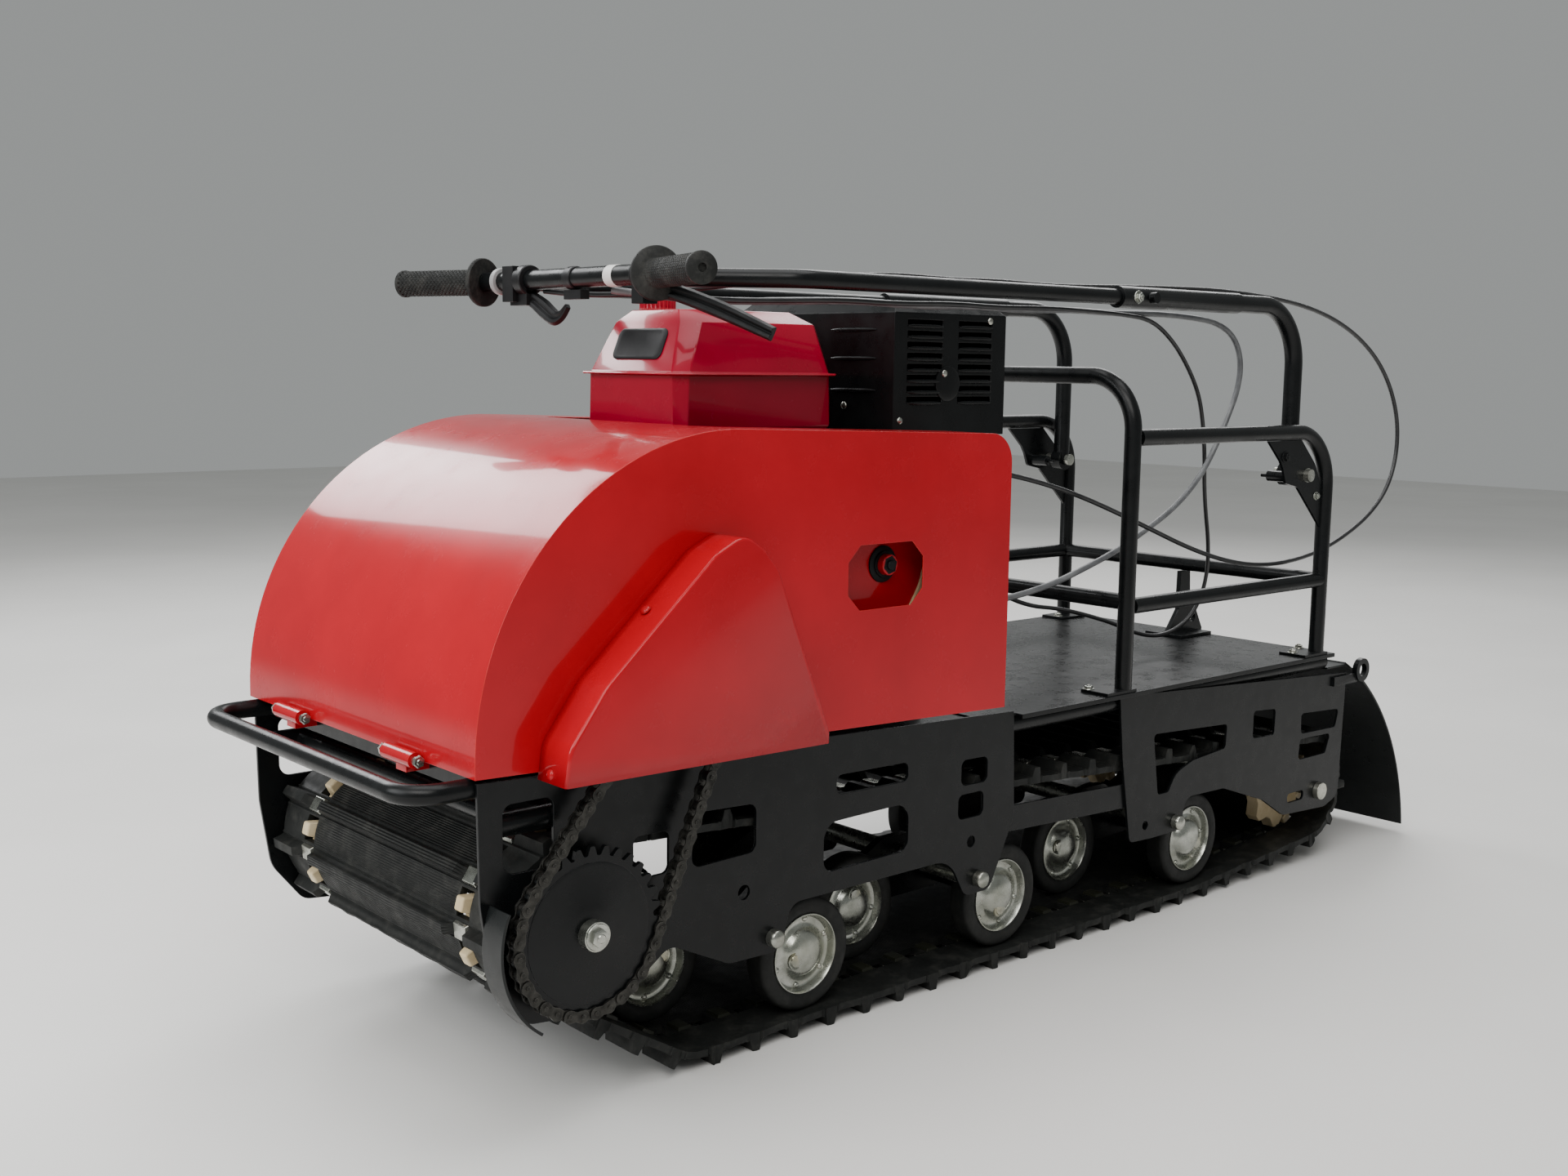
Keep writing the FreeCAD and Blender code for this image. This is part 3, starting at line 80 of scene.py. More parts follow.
class Shader:
    # A small helper that adds nodes to one material and wires them up. A grain is a noise's
    # scale, detail and roughness.

    def __init__(self, name):
        self.material = bpy.data.materials.new(name)
        self.material.use_nodes = True
        self.tree = self.material.node_tree
        self.tree.nodes.clear()
        self.output = self.add("ShaderNodeOutputMaterial")
        self.surface = self.add("ShaderNodeBsdfPrincipled")
        self.link(self.surface.outputs[0], self.output.inputs[0])
        self.place = self.add("ShaderNodeTexCoord").outputs["Object"]

    def add(self, kind, **settings):
        node = self.tree.nodes.new(kind)
        for name, value in settings.items():
            setattr(node, name, value)
        return node

    def link(self, start, end):
        self.tree.links.new(start, end)

    def put(self, socket, value):
        if isinstance(value, bpy.types.NodeSocket):
            self.link(value, socket)
        else:
            socket.default_value = (*value, 1.0) if isinstance(value, tuple) else value

    def noise(self, scale, detail, roughness, stretch=None):
        node = self.add("ShaderNodeTexNoise")
        for name, value in zip(("Scale", "Detail", "Roughness"), (scale, detail, roughness)):
            node.inputs[name].default_value = value
        source = self.place
        if stretch:
            mapping = self.add("ShaderNodeMapping")
            mapping.inputs["Scale"].default_value = stretch
            self.link(source, mapping.inputs["Vector"])
            source = mapping.outputs[0]
        self.link(source, node.inputs["Vector"])
        return node.outputs["Fac"]

    def bands(self, scale, axis, vector=None, distortion=0.0):
        node = self.add("ShaderNodeTexWave", bands_direction=axis)
        node.inputs["Scale"].default_value = scale
        node.inputs["Distortion"].default_value = distortion
        self.link(vector or self.place, node.inputs["Vector"])
        return node.outputs["Fac"]

    def tones(self, grain, dark, light, low=0.3, high=0.7):
        # Noise turned into a run from one colour to another.
        node = self.add("ShaderNodeValToRGB")
        for mark, position, colour in zip(node.color_ramp.elements, (low, high), (dark, light)):
            mark.position = position
            mark.color = (*colour, 1.0)
        self.link(self.noise(*grain), node.inputs[0])
        return node.outputs[0]

    def remap(self, source, low, high, newLow, newHigh):
        node = self.add("ShaderNodeMapRange")
        for name, value in zip(("From Min", "From Max", "To Min", "To Max"), (low, high, newLow, newHigh)):
            node.inputs[name].default_value = value
        self.link(source, node.inputs["Value"])
        return node.outputs[0]

    def spread(self, grain, newLow, newHigh, low=0.3, high=0.7):
        return self.remap(self.noise(*grain), low, high, newLow, newHigh)

    def maths(self, operation, *values):
        node = self.add("ShaderNodeMath", operation=operation)
        for socket, value in zip(node.inputs, values):
            self.put(socket, value)
        return node.outputs[0]

    def mix(self, amount, first, second):
        node = self.add("ShaderNodeMix", data_type="RGBA")
        for index, value in ((0, amount), (6, first), (7, second)):
            self.put(node.inputs[index], value)
        return node.outputs[2]

    def bump(self, height, strength, distance, under=None):
        node = self.add("ShaderNodeBump")
        node.inputs["Strength"].default_value = strength
        node.inputs["Distance"].default_value = distance
        self.link(height, node.inputs["Height"])
        if under is not None:
            self.link(under, node.inputs["Normal"])
        self.link(node.outputs[0], self.surface.inputs["Normal"])
        return node.outputs[0]

    def edges(self, radius, most=1.0):
        # How near a sharp edge the point is: the angle between two normals, one of them rounded.
        rounded = self.add("ShaderNodeBevel", samples=4)
        rounded.inputs["Radius"].default_value = radius
        plain = self.add("ShaderNodeNewGeometry").outputs["Normal"]
        dot = self.add("ShaderNodeVectorMath", operation="DOT_PRODUCT")
        self.link(rounded.outputs[0], dot.inputs[0])
        self.link(plain, dot.inputs[1])
        return self.remap(dot.outputs["Value"], 0.995, 0.93, 0.0, most)

    def dust(self, level, grain, low, high, most):
        # Dust lies where the surface faces up more than a level, and in patches.
        split = self.add("ShaderNodeSeparateXYZ")
        self.link(self.add("ShaderNodeNewGeometry").outputs["Normal"], split.inputs[0])
        facing = self.remap(split.outputs["Z"], level, 1.0, 0.0, 1.0)
        return self.remap(self.maths("MULTIPLY", facing, self.noise(*grain)), low, high, 0.0, most)

    def finish(self, colour, roughness, **others):
        self.put(self.surface.inputs["Base Color"], colour)
        self.put(self.surface.inputs["Roughness"], roughness)
        for name, value in others.items():
            self.put(self.surface.inputs[name.replace("_", " ")], value)
        return self.material


# The edge colour is a painted highlight: a brighter red laid along sharp edges, on both the enamel and the
# tank red.
redEnamelLook = {
    "tones": ((0.350, 0.0018, 0.0080), (0.460, 0.0026, 0.0115)), "dust": (0.55, 0.45, 0.42),
    "edge": (0.82, 0.10, 0.07), "roughness": (0.20, 0.30),
    "wave": 9.0, "waveHeight": 0.00045, "peel": 620.0, "peelHeight": 0.000012,
}


def makeRedEnamel(name="redEnamel", tones=redEnamelLook["tones"]):
    look = redEnamelLook
    shader = Shader(name)
    colour = shader.tones((5.0, 5.0, 0.6), *tones, high=0.72)
    colour = shader.mix(shader.dust(0.55, (38.0, 6.0, 0.7), 0.35, 0.8, 0.06), colour, look["dust"])
    # Painted highlight: near sharp edges the red is mixed up to 35 % towards a brighter red.
    colour = shader.mix(shader.edges(0.0009, 0.35), colour, look["edge"])
    rough = shader.spread((22.0, 6.0, 0.65), *look["roughness"])
    wave = shader.bump(shader.noise(look["wave"], 1.0, 0.4), 0.35, look["waveHeight"])
    shader.bump(shader.noise(look["peel"], 2.0, 0.5), 0.12, look["peelHeight"], wave)
    return shader.finish(colour, rough, Coat_Weight=0.34, Coat_Roughness=0.05, Specular_IOR_Level=0.14)


blackCoatLook = {
    "tones": ((0.0022, 0.0026, 0.0028), (0.0050, 0.0058, 0.0062)), "roughness": (0.22, 0.38),
    "dust": (0.16, 0.155, 0.145), "worn": (0.10, 0.10, 0.105), "grain": 900.0, "grainHeight": 0.00006,
}


def makeBlackCoat(name="blackCoat", roughness=blackCoatLook["roughness"], wear=0.35):
    look = blackCoatLook
    shader = Shader(name)
    colour = shader.tones((16.0, 6.0, 0.6), *look["tones"], high=0.75)
    colour = shader.mix(shader.dust(0.4, (60.0, 8.0, 0.75), 0.4, 0.85, 0.03), colour, look["dust"])
    worn = shader.maths("MULTIPLY", shader.edges(0.0008), shader.noise(140.0, 5.0, 0.6))
    colour = shader.mix(shader.remap(worn, 0.25, 0.7, 0.0, wear), colour, look["worn"])
    rough = shader.spread((45.0, 5.0, 0.6), *roughness)
    shader.bump(shader.noise(look["grain"], 3.0, 0.55), 0.35, look["grainHeight"])
    return shader.finish(colour, rough, Specular_IOR_Level=0.22)


rubberLook = {
    "tones": ((0.0050, 0.0056, 0.0054), (0.0125, 0.0130, 0.0120)), "dust": (0.15, 0.145, 0.13),
    "scuff": (0.11, 0.11, 0.105), "scuffStretch": (1.0, 6.0, 1.0),
}
trackRubberLook = {
    "tones": ((0.0050, 0.0058, 0.0054), (0.0130, 0.0140, 0.0128)), "dusty": 0.30, "dust": (0.13, 0.125, 0.11),
    "ribPitch": 0.0027, "ribHeight": 0.0011, "panelHalf": 0.150, "panelFade": 0.004,
}


def rubberSurface(shader, look, dustFrom, dusty, roughness, under=None):
    # Mottled rubber with dust in its pores and two grains: its colour and its roughness.
    colour = shader.tones((14.0, 7.0, 0.65), *look["tones"], low=0.28, high=0.74)
    colour = shader.mix(shader.spread((36.0, 10.0, 0.75), 0.0, dusty, dustFrom, 0.8), colour, look["dust"])
    coarse = shader.bump(shader.noise(260.0, 5.0, 0.6), 0.5, 0.0003, under)
    shader.bump(shader.noise(1100.0, 2.0, 0.5), 0.25, 0.00008, coarse)
    return colour, shader.spread((70.0, 4.0, 0.6), *roughness)


def makeRubber(name, dusty, roughness):
    shader = Shader(name)
    colour, rough = rubberSurface(shader, rubberLook, 0.48, dusty, roughness)
    scuff = shader.noise(20.0, 8.0, 0.7, rubberLook["scuffStretch"])
    colour = shader.mix(shader.remap(scuff, 0.6, 0.82, 0.0, 0.25), colour, rubberLook["scuff"])
    return shader.finish(colour, rough, Specular_IOR_Level=0.25)


def makeTrackRubber():
    # Fine ribs run across the belt on its middle panel; the map holds the place along and across it.
    look = trackRubberLook
    shader = Shader("trackRubber")
    place = shader.add("ShaderNodeUVMap", uv_map="trackMap").outputs[0]
    ribs = shader.bands(math.pi / (10 * look["ribPitch"]), "X", place)
    split = shader.add("ShaderNodeSeparateXYZ")
    shader.link(place, split.inputs[0])
    across = shader.maths("ABSOLUTE", split.outputs["Y"])
    panel = shader.remap(across, look["panelHalf"], look["panelHalf"] + look["panelFade"], 1.0, 0.0)
    low = shader.bump(shader.maths("MULTIPLY", ribs, panel), 0.8, look["ribHeight"])
    colour, rough = rubberSurface(shader, look, 0.5, look["dusty"], (0.5, 0.72), low)
    return shader.finish(colour, rough, Specular_IOR_Level=0.25)


zincLook = {"dark": (0.20, 0.21, 0.18), "light": (0.50, 0.51, 0.47), "grime": (0.10, 0.095, 0.08)}


def makeZinc(name="zincPlate", tint=(0.62, 0.60, 0.52), grimy=0.75):
    look = zincLook
    shader = Shader(name)
    base = shader.tones((30.0, 6.0, 0.6), look["dark"], look["light"])
    colour = shader.mix(shader.spread((11.0, 3.0, 0.5), 0.0, 0.7, 0.45, 0.7), base, tint)
    colour = shader.mix(shader.spread((90.0, 10.0, 0.78), 0.0, grimy, 0.52, 0.78), colour, look["grime"])
    shader.bump(shader.noise(240.0, 6.0, 0.65), 0.35, 0.00018)
    return shader.finish(colour, shader.spread((55.0, 6.0, 0.65), 0.16, 0.38), Metallic=0.92)


def makePlastic(name, dark, light, roughness=(0.35, 0.5)):
    shader = Shader(name)
    colour = shader.tones((24.0, 6.0, 0.6), dark, light, high=0.72)
    grime = shader.spread((80.0, 9.0, 0.75), 0.0, 0.4, 0.55, 0.8)
    colour = shader.mix(grime, colour, tuple(0.5 * part + 0.004 for part in dark))
    shader.bump(shader.noise(700.0, 3.0, 0.5), 0.35, 0.0001)
    return shader.finish(colour, shader.spread((60.0, 4.0, 0.6), *roughness), Specular_IOR_Level=0.28)


def makeChainSteel():
    shader = Shader("chainSteel")
    colour = shader.tones((120.0, 6.0, 0.7), (0.012, 0.012, 0.011), (0.060, 0.058, 0.052))
    colour = shader.mix(shader.edges(0.0004, 0.6), colour, (0.20, 0.195, 0.18))
    shader.bump(shader.noise(900.0, 3.0, 0.6), 0.4, 0.00008)
    return shader.finish(colour, shader.spread((200.0, 4.0, 0.6), 0.3, 0.55), Metallic=0.85)


def makeBeltFabric():
    shader = Shader("beltFabric")
    weave = shader.bands(430.0, "Y", distortion=1.0)
    colour = shader.mix(weave, (0.42, 0.31, 0.16), (0.62, 0.50, 0.30))
    colour = shader.mix(shader.spread((60.0, 7.0, 0.7), 0.0, 0.5, 0.5, 0.8), colour, (0.12, 0.10, 0.07))
    shader.bump(weave, 0.5, 0.0003)
    return shader.finish(colour, 0.8, Specular_IOR_Level=0.2)


def makeSheath(name, dark, light):
    # Outer cable sheath: smooth extruded plastic with a faint grain.
    shader = Shader(name)
    colour = shader.tones((40.0, 6.0, 0.6), dark, light)
    shader.bump(shader.noise(1500.0, 3.0, 0.5), 0.3, 0.00005)
    return shader.finish(colour, shader.spread((90.0, 5.0, 0.6), 0.28, 0.45), Specular_IOR_Level=0.5)


def makeCastMetal():
    shader = Shader("castMetal")
    colour = shader.tones((50.0, 6.0, 0.65), (0.018, 0.018, 0.018), (0.05, 0.05, 0.052), high=0.72)
    colour = shader.mix(shader.edges(0.001, 0.5), colour, (0.22, 0.22, 0.22))
    shader.bump(shader.noise(420.0, 6.0, 0.7), 0.6, 0.00035)
    return shader.finish(colour, 0.5, Metallic=0.5)


def makeFloor():
    shader = Shader("paleFloor")
    colour = shader.tones((1.3, 5.0, 0.5), (0.70, 0.69, 0.67), (0.76, 0.75, 0.73), high=0.72)
    shader.bump(shader.noise(180.0, 3.0, 0.5), 0.12, 0.0002)
    return shader.finish(colour, shader.spread((6.0, 4.0, 0.5), 0.5, 0.62), Specular_IOR_Level=0.3)


looks = {
    "redEnamel": makeRedEnamel(),
    "tankRed": makeRedEnamel("tankRed", ((0.270, 0.0014, 0.0170), (0.350, 0.0020, 0.0230))),
    "blackCoat": makeBlackCoat(),
    "blackMatt": makeBlackCoat("blackMatt", (0.42, 0.6), 0.25),
    "trackRubber": makeTrackRubber(),
    "tyreRubber": makeRubber("tyreRubber", 0.12, (0.5, 0.7)),
    "gripRubber": makeRubber("gripRubber", 0.30, (0.55, 0.75)),
    "zincPlate": makeZinc(),
    "discZinc": makeZinc("discZinc", (0.34, 0.35, 0.28), 0.45),
    "yellowZinc": makeZinc("yellowZinc", (0.60, 0.50, 0.20)),
    "tanPlastic": makePlastic("tanPlastic", (0.50, 0.38, 0.20), (0.72, 0.60, 0.40)),
    "olivePlastic": makePlastic("olivePlastic", (0.010, 0.011, 0.007), (0.022, 0.023, 0.014)),
    "blackPlastic": makePlastic("blackPlastic", (0.0040, 0.0040, 0.0046), (0.0100, 0.0100, 0.0108)),
    "flapPlastic": makePlastic("flapPlastic", (0.004, 0.005, 0.005), (0.0085, 0.010, 0.010), (0.25, 0.38)),
    "greyPlastic": makePlastic("greyPlastic", (0.22, 0.22, 0.22), (0.34, 0.34, 0.34)),
    "whiteTape": makePlastic("whiteTape", (0.58, 0.57, 0.55), (0.72, 0.71, 0.69), (0.4, 0.55)),
    "chainSteel": makeChainSteel(),
    "beltFabric": makeBeltFabric(),
    "blackSheath": makeSheath("blackSheath", (0.008, 0.008, 0.009), (0.02, 0.02, 0.021)),
    "greySheath": makeSheath("greySheath", (0.07, 0.072, 0.078), (0.16, 0.165, 0.17)),
    "castMetal": makeCastMetal(),
}
print("materials made:", len(looks))

lookOfSlot = {
    "red_paint": "redEnamel", "black_paint": "blackCoat", "track_rubber": "trackRubber",
    "tyre_rubber": "tyreRubber", "zinc": "zincPlate", "star_plastic": "tanPlastic",
    "chain_steel": "chainSteel", "belt_rubber": "beltFabric", "engine_metal": "castMetal", "black_plastic": "blackPlastic",
    "grip_rubber": "gripRubber", "sheath": "blackSheath",
}

# Mesh helpers: a part is its points in millimetres and its faces.

def newPiece(name, part, look, body="chassis", smooth=35, bevel=0.0, segments=2, replaces=()):
    # Points are merged and the faces are turned outwards before the part gets its finish.
    verts, faces = part
    mesh = bpy.data.meshes.new(name)
    places = (np.asarray(verts, dtype=float) / 1000).tolist()
    mesh.from_pydata(places, [], [[int(index) for index in face] for face in faces])
    mesh.validate()
    work = bmesh.new()
    work.from_mesh(mesh)
    bmesh.ops.remove_doubles(work, verts=work.verts, dist=2e-6)
    bmesh.ops.recalc_face_normals(work, faces=work.faces)
    work.to_mesh(mesh)
    work.free()
    piece = placed(name, mesh)
    dress(piece, look, body, smooth, bevel, segments)
    if replaces:
        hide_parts(*replaces)
    return piece


def smoothed(mesh, look, smooth):
    mesh.materials.append(looks[look])
    mesh.polygons.foreach_set("use_smooth", np.ones(len(mesh.polygons), dtype=bool))
    mesh.set_sharp_from_angle(angle=math.radians(smooth))


def dress(piece, look, body, smooth, bevel, segments=2):
    smoothed(piece.data, look, smooth)
    if bevel:
        rounding = piece.modifiers.new("softEdges", "BEVEL")
        rounding.width = mm(bevel)
        rounding.segments = segments
        rounding.limit_method = "ANGLE"
        rounding.angle_limit = math.radians(32)
        rounding.harden_normals = True
    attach(piece, body)


def stacked(*places):
    # Points from their x, y and z, or flat ones from two; a single number holds for all of them.
    return np.stack(np.broadcast_arrays(*places), -1)


def circle(radius, turn, middle=(0, 0)):
    return stacked(middle[0] + radius * np.cos(turn), middle[1] + radius * np.sin(turn))


def gridFaces(rows, columns, wrapRows=False, wrapColumns=False):
    # Quads between neighbouring rows and columns of a grid of points, numbered row by row.
    rowCount = rows if wrapRows else rows - 1
    columnCount = columns if wrapColumns else columns - 1
    r, c = np.meshgrid(np.arange(rowCount), np.arange(columnCount), indexing="ij")
    r2, c2 = (r + 1) % rows, (c + 1) % columns
    quads = (r * columns + c, r * columns + c2, r2 * columns + c2, r2 * columns + c)
    return np.stack(quads, -1).reshape(-1, 4)


def capped(rows, columns):
    # The side of a tube whose rows are rings of points, and a face on each of its ends.
    last = (rows - 1) * columns
    ends = [list(range(columns))[::-1], list(range(last, last + columns))]
    return gridFaces(rows, columns, wrapColumns=True).tolist() + ends


def joinParts(parts):
    # Several parts joined into one, each one's faces renumbered.
    verts, faces, start = [], [], 0
    for partVerts, partFaces in parts:
        verts.append(np.asarray(partVerts, dtype=float))
        faces.extend([[int(i) + start for i in face] for face in partFaces])
        start += len(partVerts)
    return np.concatenate(verts), faces


def lathe(profile, around=48, closed=True, ring=False):
    # A profile of (radius, height) carried round the Z axis: x = r cos a, y = r sin a, z = height.
    radius, height = (part[:, None] for part in np.asarray(profile, dtype=float).T)
    angle = np.linspace(0, 2 * math.pi, around, endpoint=False)
    verts = stacked(radius * np.cos(angle), radius * np.sin(angle), height).reshape(-1, 3)
    if closed and not ring:
        return verts, capped(len(profile), around)
    return verts, gridFaces(len(profile), around, wrapRows=ring, wrapColumns=True).tolist()


def standAlong(part, direction, place):
    # Turns a part made along +Z so that it points along a direction, and moves it to its place.
    verts, faces = part
    turn = Vector((0, 0, 1)).rotation_difference(Vector(direction)).to_matrix()
    return np.asarray(verts) @ np.array(turn).T + np.asarray(place, dtype=float), faces


def hexHead(radius, height, washer=1.42):
    # A six-sided head with a chamfered top and the bolt's tip, on a washer that stands on Z = 0.
    base = height * 0.2 if washer else 0.0
    parts = []
    if washer:
        rim = radius * washer
        edge = [(rim * 0.95, 0), (rim, base * 0.3), (rim * 0.96, base), (radius * 0.6, base)]
        parts.append(lathe(edge, 28))
    angle = np.arange(6) * math.pi / 3 + 0.3
    shape = ((1.0, 0), (1.0, 0.62), (0.87, 0.74), (0.3, 0.74))
    rings = [stacked(*circle(radius * reach, angle).T, base + height * share) for reach, share in shape]
    parts.append((np.concatenate(rings), capped(len(shape), len(angle))))
    tip, end = radius * 0.5, base + height
    bolt = [(tip, base + height * 0.5), (tip, end - tip * 0.2), (tip * 0.8, end), (tip * 0.1, end)]
    parts.append(lathe(bolt, 16))
    return joinParts(parts)


def dome(radius, height, around=20):
    # A low dome: radius and height follow a quarter turn.
    angle = np.linspace(0, math.pi / 2 * 0.97, 7)
    profile = [(radius, -0.5)] + [(radius * math.cos(a), height * math.sin(a)) for a in angle]
    return lathe(profile, around)


def slab(outline, low, high):
    # An outline drawn in X and Z, thickened across Y from low to high.
    outline = np.asarray(outline, dtype=float)
    rings = [stacked(outline[:, 0], level, outline[:, 1]) for level in (low, high)]
    return np.concatenate(rings), capped(2, len(outline))


def roundedLine(corners, closed=True, steps=7):
    # Each corner (a, b, radius) becomes an arc that touches both of its sides.
    points = []
    count = len(corners)
    for index, corner in enumerate(corners):
        here = np.array(corner[:2], dtype=float)
        radius = corner[2] if len(corner) > 2 else 0.0
        if radius <= 0 or (not closed and index in (0, count - 1)):
            points.append(here)
            continue
        before = np.array(corners[index - 1][:2], dtype=float)
        after = np.array(corners[(index + 1) % count][:2], dtype=float)
        into = (here - before) / np.linalg.norm(here - before)
        out = (after - here) / np.linalg.norm(after - here)
        turn = math.acos(max(-1.0, min(1.0, float(into @ out))))
        reach = radius * math.tan(turn / 2)
        side = 1 if into[0] * out[1] - into[1] * out[0] > 0 else -1
        normal = np.array([-into[1], into[0]]) * side
        middle = here - into * reach + normal * radius
        swing = np.linspace(0, turn, steps)[:, None]
        points.extend(middle - normal * radius * np.cos(swing) + into * radius * np.sin(swing))
    return np.array(points)


def tubeAlong(points, radii, around=16):
    # A round section carried along a path: p + r (cos a u + sin a w), with u and w square to the path.
    points = np.asarray(points, dtype=float)
    radii = np.broadcast_to(np.asarray(radii, dtype=float), (len(points),))
    along = np.gradient(points, axis=0)
    along /= np.linalg.norm(along, axis=1)[:, None]
    frames = [np.cross(along[0], (0.0, 0.0, 1.0) if abs(along[0][2]) < 0.9 else (1.0, 0.0, 0.0))]
    for heading in along[1:]:
        frames.append(frames[-1] - heading * (frames[-1] @ heading))
    first = np.array(frames)
    first /= np.linalg.norm(first, axis=1)[:, None]
    second = np.cross(along, first)
    angle = np.linspace(0, 2 * math.pi, around, endpoint=False)
    ring = first[:, None] * np.cos(angle)[None, :, None] + second[:, None] * np.sin(angle)[None, :, None]
    verts = (points[:, None] + ring * radii[:, None, None]).reshape(-1, 3)
    return verts, capped(len(points), around)


def boxPart(low, high):
    x, y, z = [(low[i], high[i]) for i in range(3)]
    verts = [(a, b, c) for c in z for b in y for a in x]
    return verts, [(0, 2, 3, 1), (4, 5, 7, 6), (0, 1, 5, 4), (1, 3, 7, 5), (3, 2, 6, 7), (2, 0, 4, 6)]


def finishedNode(node, look, bevel):
    # A merged copy of a solid with soft edges, which then stands for that node.
    source = cadNodes[node]
    work = bmesh.new()
    work.from_mesh(source.data)
    work.transform(source.matrix_world)
    bmesh.ops.remove_doubles(work, verts=work.verts, dist=1e-6)
    bmesh.ops.dissolve_limit(work, angle_limit=math.radians(0.4), verts=work.verts, edges=work.edges)
    mesh = bpy.data.meshes.new(node + "Finish")
    work.to_mesh(mesh)
    work.free()
    piece = placed(node + "Finish", mesh)
    dress(piece, look, bodyOfNode[node], 30, bevel)
    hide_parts(node)


cameraView = {
    "place": (1588.0, 1538.8, 741.4), "yaw": 41.28, "down": 7.75, "roll": 0.71,
    "lens": 37.976, "sensor": 36.0,
}


def makeCamera():
    # Right, up and back directions from the yaw, the tilt down and the roll.
    view = cameraView
    yaw, down, roll = (math.radians(view[key]) for key in ("yaw", "down", "roll"))
    right = Vector((-math.cos(yaw), math.sin(yaw), 0))
    ahead = Vector((-math.sin(yaw), -math.cos(yaw), 0))
    up = Vector((0, 0, 1))
    aim = ahead * math.cos(down) - up * math.sin(down)
    top = up * math.cos(down) + ahead * math.sin(down)
    side = right * math.cos(roll) + top * math.sin(roll)
    top = top * math.cos(roll) - right * math.sin(roll)
    turn = Matrix((side, top, -aim)).transposed()
    data = bpy.data.cameras.new("camera")
    data.lens = view["lens"]
    data.sensor_width = view["sensor"]
    data.clip_start = 0.05
    data.clip_end = 60.0
    camera = placed("camera", data)
    camera.matrix_world = Matrix.Translation(mm(*view["place"])) @ turn.to_4x4()
    bpy.context.scene.camera = camera


makeCamera()

# The control cables: smooth tubes about the same points as their solids.

cableRoutes = {
    "brake_cable": [
        (545, 132, 812), (480, 148, 806), (400, 172, 808), (322, 190, 811), (240, 197, 809), (155, 199, 812),
        (72, 197, 810), (-12, 199, 812), (-94, 196, 811), (-170, 193, 809), (-238, 190, 804),
        (-290, 187, 778), (-338, 179, 744), (-380, 170, 706), (-408, 160, 664), (-427, 152, 618),
        (-438, 146, 574), (-452, 141, 534), (-472, 134, 492), (-485, 127, 446), (-484, 118, 402),
        (-466, 108, 368), (-430, 94, 348), (-386, 84, 352), (-330, 78, 374), (-268, 77, 392), (-200, 80, 408),
        (-130, 86, 418), (-60, 94, 442), (8, 104, 472), (71, 112, 497), (129.7, 112, 497),
    ],
    "clutch_cable": [
        (548, 70, 816), (505, 118, 808), (440, 150, 806), (366, 170, 809), (288, 181, 811), (200, 184, 808),
        (110, 186, 811), (20, 184, 809), (-70, 186, 812), (-160, 184, 810), (-250, 186, 812),
        (-328, 184, 810), (-394, 186, 804), (-440, 185, 784), (-464, 181, 748), (-465, 176, 710),
        (-452, 171, 674), (-432, 167, 632), (-406, 164, 594), (-374, 161, 564), (-336, 159, 540),
        (-276, 160, 515), (-215, 163, 494), (-150, 167, 478), (-77, 168, 460), (-4, 152, 445), (64, 122, 436),
        (129.7, 122, 436),
    ],
    "throttle_cable": [
        (548, -60, 818), (533, 0, 812), (500, 62, 815), (450, 112, 822), (392, 150, 830), (318, 177, 838),
        (236, 186, 842), (150, 188, 840), (62, 186, 842), (-26, 188, 840), (-114, 186, 842), (-202, 188, 845),
        (-290, 186, 847), (-376, 187, 848), (-462, 185, 846), (-546, 186, 841), (-624, 188, 831),
        (-694, 190, 815), (-760, 192, 790), (-816, 194, 756), (-857, 196, 712), (-880, 198, 660),
        (-880, 199, 606), (-858, 199, 556), (-812, 198, 518), (-752, 196, 490), (-682, 194, 468),
        (-601, 191, 456), (-514, 189, 456), (-430, 187, 470), (-346, 185, 494), (-262, 184, 524),
        (-176, 184, 554), (-96, 182, 580), (-20, 162, 602), (60, 120, 618), (129.7, 120, 618),
    ],
}
# The radius and the look of each cable.
cableLooks = {
    "brake_cable": (3.0, "blackSheath"), "clutch_cable": (4.0, "greySheath"),
    "throttle_cable": (3.2, "blackSheath"),
}


def smoothLine(name, points):
    # The points that a NURBS line of order 3 runs through, read from its own mesh with no bevel.
    curveData = bpy.data.curves.new(name, "CURVE")
    curveData.dimensions = "3D"
    curveData.resolution_u = 8
    line = curveData.splines.new("NURBS")
    line.points.add(len(points) - 1)
    line.points.foreach_set("co", np.array([(*mm(*point), 1.0) for point in points]).ravel())
    line.order_u = 3
    line.use_endpoint_u = True
    holder = placed(name, curveData)
    graph = bpy.context.evaluated_depsgraph_get()
    graph.update()
    drawn = bpy.data.meshes.new_from_object(holder.evaluated_get(graph))
    path = np.empty(len(drawn.vertices) * 3)
    drawn.vertices.foreach_get("co", path)
    bpy.data.meshes.remove(drawn)
    bpy.data.objects.remove(holder)
    bpy.data.curves.remove(curveData)
    return path.reshape(-1, 3) * 1000


def makeCable(node, points, radius, look):
    path = smoothLine(node + "Line", points)
    verts, faces = tubeAlong(path, radius, 12)
    mesh = bpy.data.meshes.new(node + "Cord")
    mesh.from_pydata((verts / 1000).tolist(), [], faces)
    work = bmesh.new()
    work.from_mesh(mesh)
    bmesh.ops.recalc_face_normals(work, faces=work.faces)
    work.to_mesh(mesh)
    work.free()
    smoothed(mesh, look, 40)
    cable = placed(node + "Cord", mesh)
    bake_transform(cable)
    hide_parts(node)


for nodeName, route in cableRoutes.items():
    makeCable(nodeName, route, *cableLooks[nodeName])

# Nodes whose solid form is right get soft edges and their finish; widths are in millimetres.

